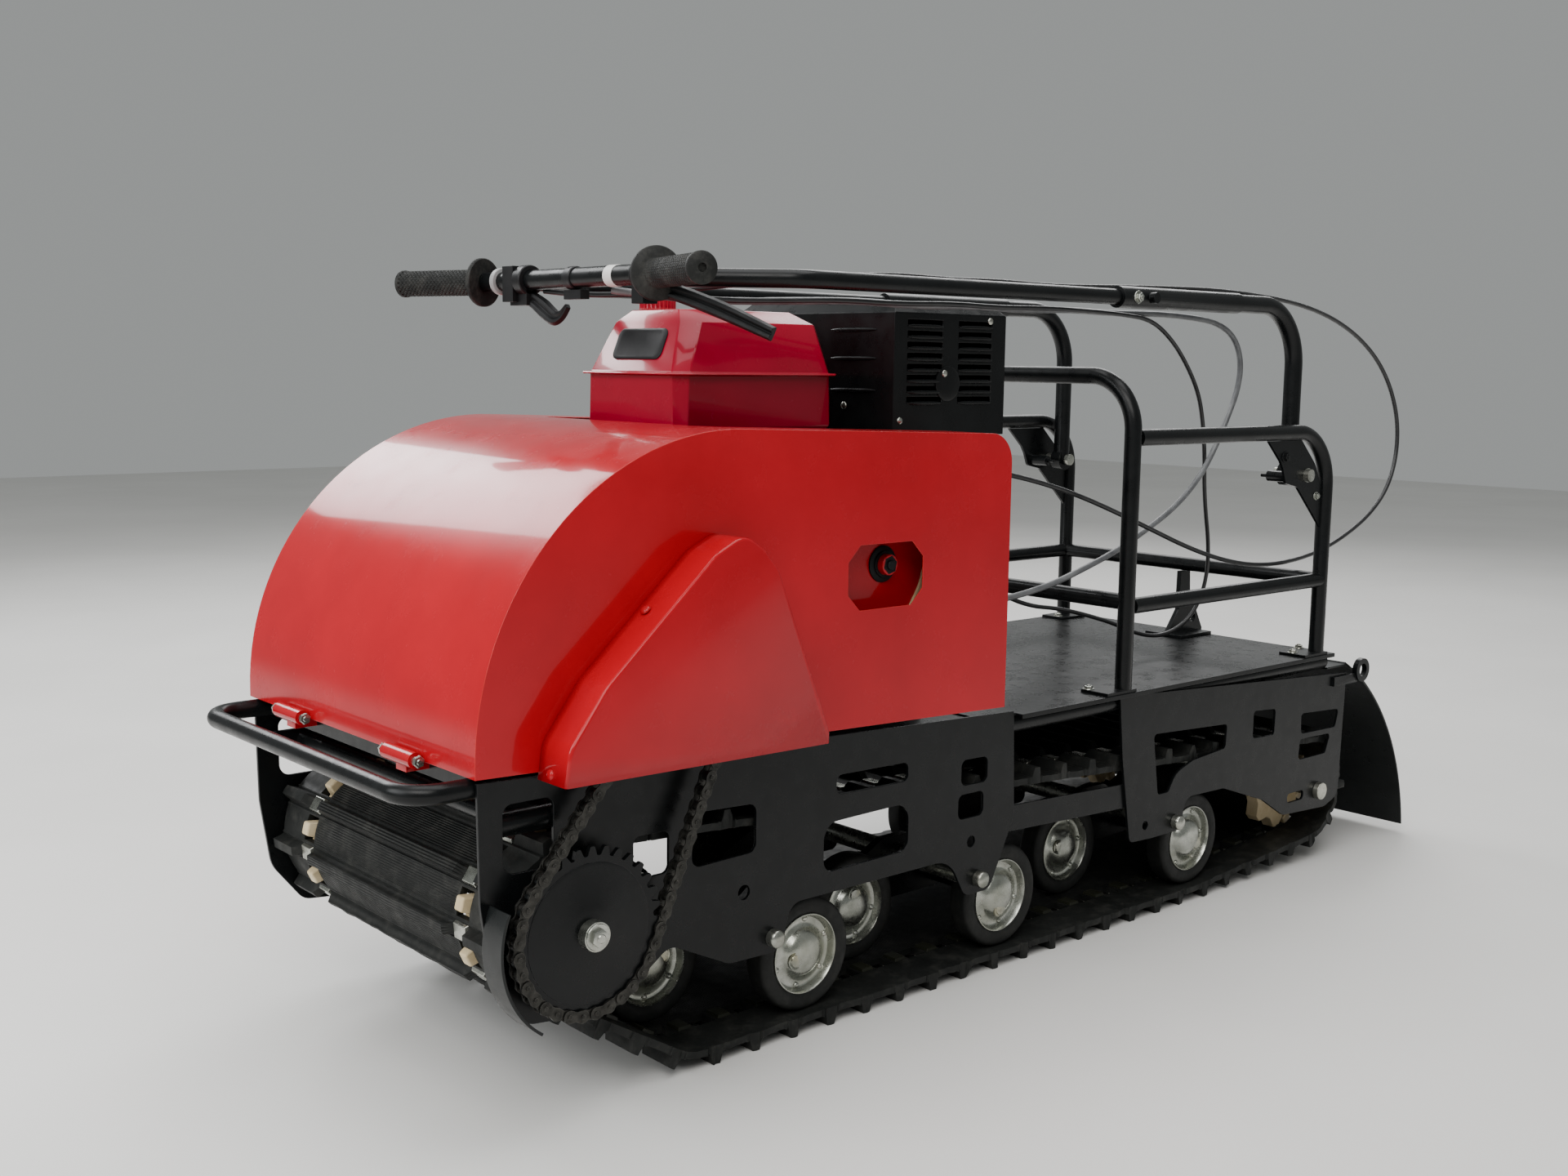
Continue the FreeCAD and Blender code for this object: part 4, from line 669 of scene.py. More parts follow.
plainNodes = {
    "side_plate_front_left": 0.6, "side_plate_front_right": 0.6, "side_plate_rear_left": 0.6,
    "side_plate_rear_right": 0.6, "frame": 0.0, "sprocket_skid": 0.6, "bumper": 0.0, "front_apron": 0.6,
    "deck": 0.8, "rear_flap": 0.8, "lashing_eyes": 1.5, "hitch_post": 0.8, "rack_hoop": 0.6, "rack_rails": 0.6,
    "pivot_gussets": 0.0, "hood": 0.7, "hood_hinges": 0.6, "engine_cradle": 1.0, "engine": 4.0,
    "recoil_starter": 3.0, "fuel_tank": 3.0, "muffler_cover": 1.5, "handle_legs": 0.6, "pivot_bolts": 0.0,
    "handlebar": 0.0, "stop_switch": 2.0, "rocker_arms": 1.2, "track_stars": 1.5, "cross_shafts": 1.0,
    "drive_pulley": 1.5, "jackshaft": 1.5, "drive_belt": 0.8,
}
lookOfNode = {
    "rear_flap": "flapPlastic", "sprocket_skid": "flapPlastic", "drive_pulley": "redEnamel",
    "fuel_tank": "tankRed",
}
for nodeName, width in plainNodes.items():
    finishedNode(nodeName, lookOfNode.get(nodeName, lookOfSlot[slotOfNode[nodeName]]), width)
print("nodes finished:", len(plainNodes))


# The loop of a belt or chain round circles (x, z, radius).

def loopTable(circles, height):
    # Straight runs and arcs in turn: the foot point on the circles, the outward angle,
    # and the distance along the line that lies some height outside them.
    normals = []
    for (ax, az, ar), (bx, bz, br) in zip(circles, circles[1:] + circles[:1]):
        length = math.hypot(bx - ax, bz - az)
        normals.append(math.atan2(bz - az, bx - ax) - math.pi / 2 + math.asin((ar - br) / length))
    xs, zs, angles = [], [], []
    angle = normals[0]
    for index, normal in enumerate(normals):
        ax, az, ar = circles[index]
        bx, bz, br = circles[(index + 1) % len(circles)]
        turn = (normals[(index + 1) % len(normals)] - normal) % (2 * math.pi)
        swing = angle + np.linspace(0, turn, 120)
        xs.append(np.append(ax + ar * math.cos(angle), bx + br * np.cos(swing)))
        zs.append(np.append(az + ar * math.sin(angle), bz + br * np.sin(swing)))
        angles.append(np.append(angle, swing))
        angle += turn
    x, z, out = (np.concatenate(part) for part in (xs, zs, angles))
    line = np.stack([x + height * np.cos(out), z + height * np.sin(out)], -1)
    distance = np.concatenate([[0], np.cumsum(np.linalg.norm(np.diff(line, axis=0), axis=1))])
    return distance, x, z, out


def onLoop(table, along):
    # Foot point and outward direction at distances along the loop.
    distance, x, z, out = table
    along = np.asarray(along) % distance[-1]
    angle = np.interp(along, distance, out)
    return np.interp(along, distance, x), np.interp(along, distance, z), np.cos(angle), np.sin(angle)


def loopBlocks(table, along, block):
    # One small block at each distance: its corners are (along the loop, outwards, across).
    corners, faces = block
    corners = np.asarray(corners, dtype=float)
    x, z, ca, sa = onLoop(table, along)
    t, h, y = corners.T
    px = x[:, None] + ca[:, None] * h - sa[:, None] * t
    pz = z[:, None] + sa[:, None] * h + ca[:, None] * t
    verts = stacked(px, y, pz).reshape(-1, 3)
    whole = [[index + number * len(corners) for index in face] for number in range(len(x)) for face in faces]
    return verts, whole


track = {
    "circles": [(716, 196, 72), (-623, 113, 72), (-333, 86.3, 65.3), (547, 86.3, 65.3)],
    "thickness": 8.0, "half": 236.0, "pitch": 55.0, "lugHeight": 13.0, "crestHalf": 4.5, "baseHalf": 8.0,
    "windowAlong": (13.0, 42.0), "windowAcross": (156.0, 180.0), "clipAcross": (155.5, 180.5), "ragged": 4.0,
    "bandAcross": (150.0, 184.0), "bandCrest": 0.10, "endAcross": 186.0, "endCrest": 0.98,
    "ridgeAlong": (9.5, 12.5), "ridge": 1.2,
    # Blocks as (along the loop, outwards) from and to, and the taper of their outer face.
    "clip": ((-9.5, 7.5), (9.5, 12.2), 1.6), "pad": ((-9.0, 0.4), (9.0, -3.6), 1.0), "padInset": 1.0,
    "tooth": ((-10, -9), (10, 15), 2.6), "toothAcross": (158.5, 177.5), "wrapFrom": 600.0,
}
# Where the belt has points, along one pitch and from its middle outwards.
lugLines = [0, 4.5, 6.5, 8, 9, 10.2, 11.5, 13, 20, 27.5, 35, 42, 43.5, 44.8, 46, 47, 48.5, 50.5]
beltLines = [0, 16, 33, 50, 66, 83, 100, 116, 133, 148, 156, 180, 188, 200, 212, 224, 236]


def makeTrack():
    # The belt is a grid of (distance along the loop, place across it). Its outside stands
    # thickness + lugHeight * rise(distance to the nearest lug) * crest(place across) over the
    # wheels and its inside lies on them; cells inside the windows are left out and walled.
    look = track
    table = loopTable(look["circles"], look["thickness"])
    count = int(round(table[0][-1] / look["pitch"]))
    step = table[0][-1] / count
    offsets = np.array(lugLines) * step / look["pitch"]
    along = ((np.arange(count) + 0.5)[:, None] * step + offsets[None, :]).ravel()
    near = np.tile(np.minimum(offsets, step - offsets), count)
    across = np.array([-y for y in beltLines[:0:-1]] + beltLines, dtype=float)
    rows, columns = len(along), len(across)
    rise = np.clip((look["baseHalf"] - near) / (look["baseHalf"] - look["crestHalf"]), 0, 1)
    crest = 0.90 + 0.10 * np.repeat(rng.random((count, columns)), len(lugLines), axis=0)
    (bandLow, bandHigh), (ridgeLow, ridgeHigh) = look["bandAcross"], look["ridgeAlong"]
    crest = np.where(np.abs(across) > look["endAcross"], look["endCrest"], crest)
    crest = np.where((np.abs(across) > bandLow) & (np.abs(across) < bandHigh), look["bandCrest"], crest)
    ridge = np.where((near > ridgeLow) & (near < ridgeHigh), look["ridge"], 0.0)
    top = look["thickness"] + look["lugHeight"] * rise[:, None] * crest + ridge[:, None]
    x, z, ca, sa = (part[:, None] for part in onLoop(table, along))
    edge = np.tile(across, (rows, 1))
    wear = np.abs(np.convolve(rng.normal(0, 1, rows + 4), np.ones(5) / 5, "valid")) * look["ragged"]
    edge[:, 0] += np.minimum(wear, look["ragged"])
    edge[:, -1] -= np.minimum(wear[::-1], look["ragged"])
    outside = stacked(x + ca * top, edge, z + sa * top).reshape(-1, 3)
    inside = stacked(x, edge, z).reshape(-1, 3)
    middleAlong = np.tile((offsets + np.append(offsets[1:], step)) / 2, count) * look["pitch"] / step
    middleAcross = np.abs((across[1:] + across[:-1]) / 2)
    openAlong = (middleAlong > look["windowAlong"][0]) & (middleAlong < look["windowAlong"][1])
    openAcross = (middleAcross > look["windowAcross"][0]) & (middleAcross < look["windowAcross"][1])
    hole = openAlong[:, None] & openAcross[None, :]
    r, c = np.meshgrid(np.arange(rows), np.arange(columns - 1), indexing="ij")
    r2 = (r + 1) % rows
    quad = np.stack([r * columns + c, r * columns + c + 1, r2 * columns + c + 1, r2 * columns + c], -1)
    total = rows * columns
    solid = quad[~hole]
    faces = [solid, solid[:, ::-1] + total]
    beside = np.roll(hole, -1, axis=0)
    # walls across the belt, at the ends of the windows
    for cells in (hole & ~beside, ~hole & beside):
        row, column = np.nonzero(cells)
        first = ((row + 1) % rows) * columns + column
        faces.append(np.stack([first, first + 1, first + 1 + total, first + total], -1))
    padded = np.pad(hole, ((0, 0), (1, 1)), constant_values=True)
    # walls along the belt, its two edges among them
    row, column = np.nonzero(padded[:, 1:] != padded[:, :-1])
    first = row * columns + column
    second = ((row + 1) % rows) * columns + column
    faces.append(np.stack([first, second, second + total, first + total], -1))
    faces = np.concatenate(faces)
    piece = newPiece("trackBelt", (np.concatenate([outside, inside]), faces), "trackRubber",
                     smooth=38, replaces=("track",))
    # The map holds each corner's distance along the loop and its place across, in metres.
    mesh = piece.data
    places = np.empty(len(mesh.vertices) * 3)
    mesh.vertices.foreach_get("co", places)
    places = places.reshape(-1, 3) * 1000
    distance, footX, footZ, out = table
    ring = circle(look["thickness"], out, (footX, footZ))
    nearest = np.empty(len(places))
    for start in range(0, len(places), 4000):
        part = places[start:start + 4000][:, [0, 2]]
        nearest[start:start + 4000] = closestAlong(part, ring, distance)
    corners = np.empty(len(mesh.loops), dtype=int)
    mesh.loops.foreach_get("vertex_index", corners)
    uv = mesh.uv_layers.new(name="trackMap")
    uv.data.foreach_set("uv", np.stack([nearest[corners], places[corners, 1]], -1).ravel() / 1000)
    return table, step, count


def closestAlong(points, line, distance):
    # The distance along a line of short pieces at the spot nearest to each point.
    start, span = line[:-1], np.diff(line, axis=0)
    length = np.maximum((span ** 2).sum(1), 1e-9)
    share = ((points[:, None] - start[None]) * span[None]).sum(-1) / length
    share = np.clip(share, 0, 1)
    gap = ((start[None] + span[None] * share[..., None] - points[:, None]) ** 2).sum(-1)
    best = gap.argmin(1)
    rows = np.arange(len(points))
    return distance[best] + share[rows, best] * np.diff(distance)[best]


def frustum(low, high, taper):
    # A block whose outer face is drawn in by the taper along the loop and across it.
    (t0, h0, y0), (t1, h1, y1) = low, high
    corners = [(t0, h0, y0), (t1, h0, y0), (t1, h0, y1), (t0, h0, y1)]
    corners += [(t0 + taper, h1, y0 + taper), (t1 - taper, h1, y0 + taper)]
    corners += [(t1 - taper, h1, y1 - taper), (t0 + taper, h1, y1 - taper)]
    faces = [(3, 2, 1, 0), (4, 5, 6, 7), (0, 1, 5, 4), (1, 2, 6, 5), (2, 3, 7, 6), (3, 0, 4, 7)]
    return corners, faces


def pairOfBlocks(table, stations, block, across, inset=0.0):
    # The same block on both sides of the belt's middle, at every station.
    (t0, h0), (t1, h1), taper = block
    parts = []
    for sign in (1, -1):
        y0, y1 = sorted(sign * place for place in across)
        parts.append(loopBlocks(table, stations, frustum((t0, h0, y0 + inset), (t1, h1, y1 - inset), taper)))
    return joinParts(parts)


def makeTrackHardware(table, step, count):
    # Metal clips over the lug bars between the windows, pads on their inner side, and the
    # rounded teeth of the star wheels that come up through the windows on both wraps.
    look = track
    stations = (np.arange(count) + 0.5) * step
    clips = pairOfBlocks(table, stations, look["clip"], look["clipAcross"])
    pads = pairOfBlocks(table, stations, look["pad"], look["clipAcross"], look["padInset"])
    newPiece("trackClips", clips, "zincPlate", bevel=0.9)
    newPiece("trackPads", pads, "olivePlastic", bevel=0.6)
    windows = np.arange(count) * step + step
    x = onLoop(table, windows)[0]
    ahead, behind = onLoop(table, windows + 4), onLoop(table, windows - 4)
    turning = (np.abs(ahead[2] - behind[2]) > 0.02) | (np.abs(ahead[3] - behind[3]) > 0.02)
    wraps = windows[turning & (np.abs(x) > look["wrapFrom"])]
    teeth = pairOfBlocks(table, wraps, look["tooth"], look["toothAcross"])
    newPiece("starTeeth", teeth, "tanPlastic", bevel=2.4, segments=3)


makeTrackHardware(*makeTrack())
print("track made")


# Road wheels: rounded tyres and pressed discs, drawn with Z outwards from the wheel's face.

wheels = {
    "level": 86.3, "tyreRadius": 65.0, "rimRadius": 46.0, "width": 30.0, "shoulder": 6.0,
    "outer": {"face": 222.0, "places": (392, 65, -333)}, "inner": {"face": 142.0, "places": (547, 240, -159)},
    "disc": [
        (0, 3.5), (8, 3.2), (15, 2.2), (21, 0.2), (25, -2.6), (27.5, -6.5), (30, -9), (34, -10.2),
        (38, -10.4), (40.6, -9.4), (42.2, -6), (43.2, -2.6), (44.4, -0.8), (45.5, -1.0), (45.9, -2.6),
        (45.9, -19), (43, -19), (43, -13), (36, -13), (28, -11), (8.9, -6), (0, -4),
    ],
    "rivetRing": 38.0, "rivetSeat": -10.4, "plugOffset": 17.0, "plugSeat": 0.2,
    "plug": [(10, -2), (10, 0.8), (9, 1.3), (7.4, 0.7), (6.6, 1.9), (0, 2.3)],
}


def makeRoadWheels():
    look = wheels
    tyre, rim, deep, corner = look["tyreRadius"], look["rimRadius"], -look["width"], look["shoulder"]
    swing = np.linspace(0, math.pi / 2, 6)
    outer = [(tyre - corner + corner * math.sin(a), -corner + corner * math.cos(a)) for a in swing]
    inner = [(tyre - corner + corner * math.cos(a), deep + corner - corner * math.sin(a)) for a in swing]
    groove = [(rim + 3, -0.8), (rim + 5, 0), (tyre - corner - 3, 0)]
    profile = [(rim, -2.5)] + groove + outer + inner + [(rim + 3, deep + 1), (rim, deep + 3)]
    pit, rise = look["rivetSeat"], look["plugSeat"]
    tyres, discs, rivets, plugs = [], [], [], []
    number = 0
    for kind in ("outer", "inner"):
        face = look[kind]["face"]
        for place in look[kind]["places"]:
            number += 1
            for sign in (1, -1):
                seat = (place, sign * face, look["level"])
                side = (0, sign, 0)
                tyres.append(standAlong(lathe(profile, 72, ring=True), side, seat))
                discs.append(standAlong(lathe(look["disc"], 56, closed=False), side, seat))
                for turn in np.arange(6) * math.pi / 3 + number * 0.37:
                    low, faces = dome(3.6, 3.0, 12)
                    spot = (*circle(look["rivetRing"], turn), pit)
                    rivets.append(standAlong((low + spot, faces), side, seat))
                plug, faces = lathe(look["plug"], 24, closed=False)
                spot = (*circle(look["plugOffset"], number * 1.15 - 0.9), rise)
                plugs.append(standAlong((plug + spot, faces), side, seat))
    newPiece("roadTyres", joinParts(tyres), "tyreRubber", replaces=("road_tyres",))
    newPiece("roadDiscs", joinParts(discs), "discZinc", replaces=("road_discs",))
    newPiece("discRivets", joinParts(rivets), "zincPlate")
    newPiece("discPlugs", joinParts(plugs), "yellowZinc")


makeRoadWheels()
print("road wheels made")


# Roller chain and its large sprocket.

chain = {
    "circles": [(528, 498, 30.67), (716, 196, 80.98)], "line": 266.0, "pitch": 15.875, "roller": 5.0,
    "plateEnd": 6.6, "waist": 4.7, "innerPlate": (3.4, 4.9), "outerPlate": (5.1, 6.6),
    "pin": 2.4, "pinHalf": 7.6, "teeth": 32, "root": 76.4, "tip": 85.5, "plate": 2.9, "rollerHalf": 3.3,
    "disc": [(0, -13), (26, -13), (26, 2), (70, 2), (70, 3.6), (66, 4.2), (30, 4.2), (27, 5.2), (0, 5.2)],
    "smallTeeth": 12, "smallMean": 31.0, "smallSwing": 4.5, "smallPlate": (-2.8, 2.8),
}


def chainPlate(low, high):
    # Two round ends joined by a narrower waist, drawn about the middle of one link.
    half, end, waist = chain["pitch"] / 2, chain["plateEnd"], chain["waist"]
    swing = np.linspace(-1.95, 1.95, 9)
    right, left = circle(end, swing, (half, 0)), circle(-end, swing, (-half, 0))
    outline = np.concatenate([right, [(0, waist)], left, [(0, -waist)]])
    return slab(outline, low, high)


def turnedCopies(part, x, z, angle):
    # Copies of a part that is drawn in X and Z, each turned about Y and moved to its place.
    verts, faces = part
    verts = np.asarray(verts, dtype=float)
    ca, sa = np.cos(angle)[:, None], np.sin(angle)[:, None]
    px = x[:, None] + ca * verts[:, 0] - sa * verts[:, 2]
    pz = z[:, None] + sa * verts[:, 0] + ca * verts[:, 2]
    whole = stacked(px, verts[:, 1], pz).reshape(-1, 3)
    return whole, [[i + number * len(verts) for i in face] for number in range(len(x)) for face in faces]


def makeChain():
    look = chain
    table = loopTable(look["circles"], 0.0)
    links = 2 * int(round(table[0][-1] / look["pitch"] / 2))
    along = np.arange(links) * table[0][-1] / links
    x, z = onLoop(table, along)[:2]
    nextX, nextZ = np.roll(x, -1), np.roll(z, -1)
    angle = np.arctan2(nextZ - z, nextX - x)
    parts = []
    for start, (low, high) in ((0, look["innerPlate"]), (1, look["outerPlate"])):
        for sign in (1, -1):
            y0, y1 = sorted((look["line"] + sign * low, look["line"] + sign * high))
            pick = slice(start, None, 2)
            middle = ((x + nextX)[pick] / 2, (z + nextZ)[pick] / 2, angle[pick])
            parts.append(turnedCopies(chainPlate(y0, y1), *middle))
    for radius, half, around in ((look["roller"], look["rollerHalf"], 14), (look["pin"], look["pinHalf"], 8)):
        turn = np.linspace(0, 2 * math.pi, around, endpoint=False)
        rod = slab(circle(radius, turn), look["line"] - half, look["line"] + half)
        parts.append(turnedCopies(rod, x, z, np.zeros(links)))
    newPiece("rollerChain", joinParts(parts), "chainSteel", replaces=("drive_chain",))


def makeSprocket():
    # The rim's radius swings between root and tip: root + (tip - root) * wave, flattened at both ends.
    look = chain
    (sx, sz), (jx, jz) = (place[:2] for place in look["circles"])
    line = look["line"]
    turn = np.linspace(0, 2 * math.pi, look["teeth"] * 10, endpoint=False)
    wave = np.clip(0.5 + 0.75 * np.sin(turn * look["teeth"]), 0, 1)
    reach = look["root"] + (look["tip"] - look["root"]) * wave
    plate = slab(circle(reach, turn, (jx, jz)), line - look["plate"], line + look["plate"])
    face = standAlong(lathe(look["disc"], 64, closed=False), leftwards, (jx, line, jz))
    newPiece("sprocketPlate", joinParts([plate, face]), "blackCoat", bevel=0.4,
             replaces=("drive_sprocket",))
    turn = turn[::3]
    reach = look["smallMean"] + look["smallSwing"] * np.sin(turn * look["smallTeeth"])
    small = slab(circle(reach, turn, (sx, sz)), *(line + side for side in look["smallPlate"]))
    newPiece("smallSprocket", small, "blackCoat")


makeChain()
makeSprocket()
print("chain and sprocket made")


# The chain guard: a pressed box with a rounded face, open downwards and to the hood.

guard = {
    "outline": [
        (759, 350), (754, 385, 30), (713, 440, 60), (583, 556, 40), (546, 574, 26), (519, 556, 26),
        (501, 535, 24), (428, 358), (428, 346),
    ],
    "near": 246.3, "far": 294.3, "round": 3.5, "wall": 1.5,
}


def makeGuard():
    # Rings of one open line: it stands square to the hood, then turns inwards by a quarter circle:
    # inset = r (1 - cos a), depth = far - r + r sin a; the last ring is filled by the flat face.
    look = guard
    line = roundedLine(look["outline"], closed=False, steps=12)
    along = np.gradient(line, axis=0)
    along /= np.linalg.norm(along, axis=1)[:, None]
    inward = np.stack([-along[:, 1], along[:, 0]], -1)
    middle = line.mean(0)
    if ((middle - line[len(line) // 2]) @ inward[len(line) // 2]) < 0:
        inward = -inward
    inward[0] = (-1, 0)
    inward[-1] = (1, 0)
    bend, edge = look["round"], look["far"] - look["round"]
    rings = [(0.0, look["near"]), (0.0, look["near"] + 12), (0.0, edge)]
    swing = np.linspace(0, math.pi / 2, 8)[1:]
    rings += [(bend * (1 - math.cos(a)), edge + bend * math.sin(a)) for a in swing]
    verts = []
    for inset, depth in rings:
        spots = line + inward * inset
        verts.append(stacked(spots[:, 0], depth, spots[:, 1]))
    count = len(line)
    faces = gridFaces(len(rings), count).tolist()
    faces.append([(len(rings) - 1) * count + i for i in range(count)])
    part = (np.concatenate(verts), faces)
    piece = newPiece("chainGuard", part, "redEnamel", smooth=40, replaces=("chain_guard",))
    wall = piece.modifiers.new("wall", "SOLIDIFY")
    wall.thickness = mm(look["wall"])
    wall.offset = -1


makeGuard()
newPiece("guardRivets", joinParts([
    standAlong(dome(5.5, 2.8), way, spot)
    for spot, way in (((645, 262, 503.4), (0.666, 0, 0.746)), ((757.6, 266, 358), (0.99, 0, 0.14)))
]), "redEnamel")


# What shows in the opening of the hood: the pulley's bolt and an edge of the belt.

hoodOpening = {"crank": (276, 517), "face": 212.0, "strap": (65.5, 72.0), "strapTurn": (172.0, 236.0),
               "washer": [(21, -1), (21, 2), (19, 3), (8, 3)], "washerTop": 3.0}


def makeHoodOpening():
    # The strap is an arc about the crank; its inner radius swells to the outer one at both ends.
    look = hoodOpening
    cx, cz = middle = look["crank"]
    turn = np.radians(np.linspace(*look["strapTurn"], 24))
    inner, outer = look["strap"]
    swell = inner + (outer - inner) * 0.85 * np.abs(np.linspace(-1, 1, 24)) ** 3
    outline = np.concatenate([circle(outer, turn, middle), circle(swell, turn, middle)[::-1]])
    strap = slab(outline, look["face"] - 6, look["face"] + 3)
    newPiece("beltEdge", strap, "beltFabric", bevel=0.8)
    bolt = joinParts([
        standAlong(lathe(look["washer"], 40), leftwards, (cx, look["face"], cz)),
        standAlong(hexHead(12, 12, 1.3), leftwards, (cx, look["face"] + look["washerTop"], cz)),
    ])
    newPiece("pulleyBolt", bolt, "blackMatt", bevel=0.3)


makeHoodOpening()


# Fasteners: each is a place, the way it points, its radius and its height.

zincBolts = [
    # sprocket and gusset of the handle
    ((716, 283, 196), leftwards, 9.5, 6), ((-554, 241, 590), leftwards, 7.5, 7),
    ((-579, 241, 559), leftwards, 4.5, 5),
    # feet of the rack
    *((spot, upwards, 5.5, 5) for spot in (
        (-615, 205, 326), (-571, 222, 326), (-571, -222, 326), (-106, 212, 326), (-106, -212, 326))),
]
clampBolts = [((-162, 224, 830), leftwards, 6, 6), ((-162, -224, 830), rightwards, 6, 6)]
blackBolts = [((-494, 241, 618), leftwards, 6, 6)]
axleCaps = {"places": (462, 135, -263), "side": 253, "level": 128, "size": (10, 5, 28)}


def makeFasteners():
    zinc, clamps, black = (
        [standAlong(hexHead(radius, height), way, spot) for spot, way, radius, height in bolts]
        for bolts in (zincBolts, clampBolts, blackBolts)
    )
    for place in axleCaps["places"]:
        for sign in (1, -1):
            spot = (place, sign * axleCaps["side"], axleCaps["level"])
            zinc.append(standAlong(dome(*axleCaps["size"]), (0, sign, 0), spot))
    newPiece("zincFasteners", joinParts(zinc), "zincPlate")
    newPiece("clampBolts", joinParts(clamps), "zincPlate", body="handle")
    newPiece("blackFasteners", joinParts(black), "blackMatt")


makeFasteners()
print("guard and fasteners made")


# Tank fittings: ribbed cap, blank badge plate on the front slope.

tank = {
    "cap": (412, -30, 800), "capRadius": 20.9, "capRibs": 26, "ribHeight": 0.9,
    # The cap's profile: its share of the radius, its height, and how much of the ribs it carries.
    "profile": [(0, 0.0, 0), (1.0, 0.0, 0), (1.04, 1.0, 0), (0.97, 2.0, 1), (0.97, 13.0, 1),
                (0.90, 15.8, 0.6), (0.72, 17.4, 0), (0.30, 18.0, 0), (0, 18.0, 0)],
    "slopeFoot": (474, 728), "slopeHead": (450, 786),
    "plateAcross": (-44.0, 48.0), "plateLevels": (743.5, 778.0), "plateCorner": 9.0, "plateHalf": 17.0,
    "plateRings": ((0, 0.0), (0, 1.1), (1.2, 1.8), (3.0, 1.4)),
}


def makeCap():
    # Its side is ribbed by a square wave: radius + height of the ribs * sign(sin(ribs * angle)).
    look = tank
    turn = np.linspace(0, 2 * math.pi, look["capRibs"] * 6, endpoint=False)
    rings = []
    for reach, level, rib in look["profile"]:
        radius = look["capRadius"] * reach + rib * look["ribHeight"] * np.sign(np.sin(turn * look["capRibs"]))
        rings.append(stacked(*circle(radius, turn).T, level))
    part = (np.concatenate(rings) + look["cap"], gridFaces(len(rings), len(turn), wrapColumns=True))
    newPiece("fuelCap", part, "tankRed", smooth=40, bevel=0.3, replaces=("tank_cap",))


def makePlate():
    # A rounded plate drawn across (Y) and up the slope, whose rings are (inset, lift off the slope).
    look = tank
    foot, head = (np.array(look[key], dtype=float) for key in ("slopeFoot", "slopeHead"))
    lean = (head - foot) / np.linalg.norm(head - foot)
    outward = np.array([lean[1], -lean[0]])
    (y0, y1), (low, high), corner = look["plateAcross"], look["plateLevels"], look["plateCorner"]
    tall = (high - low) / lean[1]
    outline = roundedLine([(y0, 0, corner), (y1, 0, corner), (y1, tall, corner), (y0, tall, corner)])
    start = foot + lean * (low - foot[1]) / lean[1]
    middle = outline.mean(0)
    rings = []
    for inset, lift in look["plateRings"]:
        shrunk = middle + (outline - middle) * (1 - inset / look["plateHalf"])
        place = start + shrunk[:, 1:2] * lean + outward * lift
        rings.append(stacked(place[:, 0], shrunk[:, 0], place[:, 1]))
    part = (np.concatenate(rings), capped(len(rings), len(outline)))
    newPiece("tankPlate", part, "blackPlastic", smooth=40)


makeCap()
makePlate()


# Muffler cover: a lip under each slot, pressed ribs on its front face, a boss and screws.

cover = {"columns": (179, 91), "length": 60.0, "topRow": 791.0, "rows": 8, "pitch": 13.0, "left": 150.0,
         "ribs": (782, 748, 710), "ribAcross": (41, 119), "front": 201.0, "lipDrop": 4.4,
         "boss": [(21, -1), (21, 1.2), (18, 2.2), (9, 2.0), (0, 2.0)], "bossPlace": (110, 150, 719),
         "screws": ((117, 152, 731), (35, 150, 795), (190, 150, 675)), "frontScrew": (201, 65, 691)}


def makeCoverDetail():
    # Each bead is thinner towards both ends; a lip is one under its slot.
    look = cover
    share = np.linspace(-1, 1, 9)
    thick = 2.6 * np.sqrt(np.clip(1 - (share * 0.97) ** 4, 0.02, 1))
    along = share * look["length"] / 2
    lips = []
    for column in look["columns"]:
        for row in range(look["rows"]):
            level = look["topRow"] - look["pitch"] * row - look["lipDrop"]
            path = stacked(column - look["length"] / 2 + along, look["left"] + 0.2, level)
            lips.append(tubeAlong(path, thick, 10))
    y0, y1 = look["ribAcross"]
    across = (y0 + y1) / 2 + share * (y1 - y0) / 2
    ribs = [tubeAlong(stacked(look["front"], across, level), thick, 10) for level in look["ribs"]]
    newPiece("coverLips", joinParts(lips), "blackCoat", smooth=60)
    newPiece("coverRibs", joinParts(ribs), "blackCoat", smooth=60)
    boss = standAlong(lathe(look["boss"], 40, closed=False), leftwards, look["bossPlace"])
    newPiece("coverBoss", boss, "blackCoat")
    screws = [standAlong(dome(4.5, 2.4), leftwards, spot) for spot in look["screws"]]
    screws.append(standAlong(dome(5.0, 2.4), forwards, look["frontScrew"]))
    newPiece("coverScrews", joinParts(screws), "zincPlate")


makeCoverDetail()
print("tank and cover fittings made")


# Handlebar fittings, all on the body that slides.

bar = {
    "place": 559.0, "half": 158.0, "level": 830.0, "sweep": 17.0,
    "grip": 130.0, "gripRadius": 15.2, "knurls": 18,
    # Radius and place along the grip: its flange, and its end past the grip's length.
    "flange": [(10.9, 8), (27.0, 8), (28.0, 9), (28.0, 13), (27.0, 14), (17.0, 14.5), (15.4, 15.5)],
    "tail": [(16.0, 3), (16.0, 7), (14.4, 8), (4.5, 8.4), (4.5, 4.2)],
}


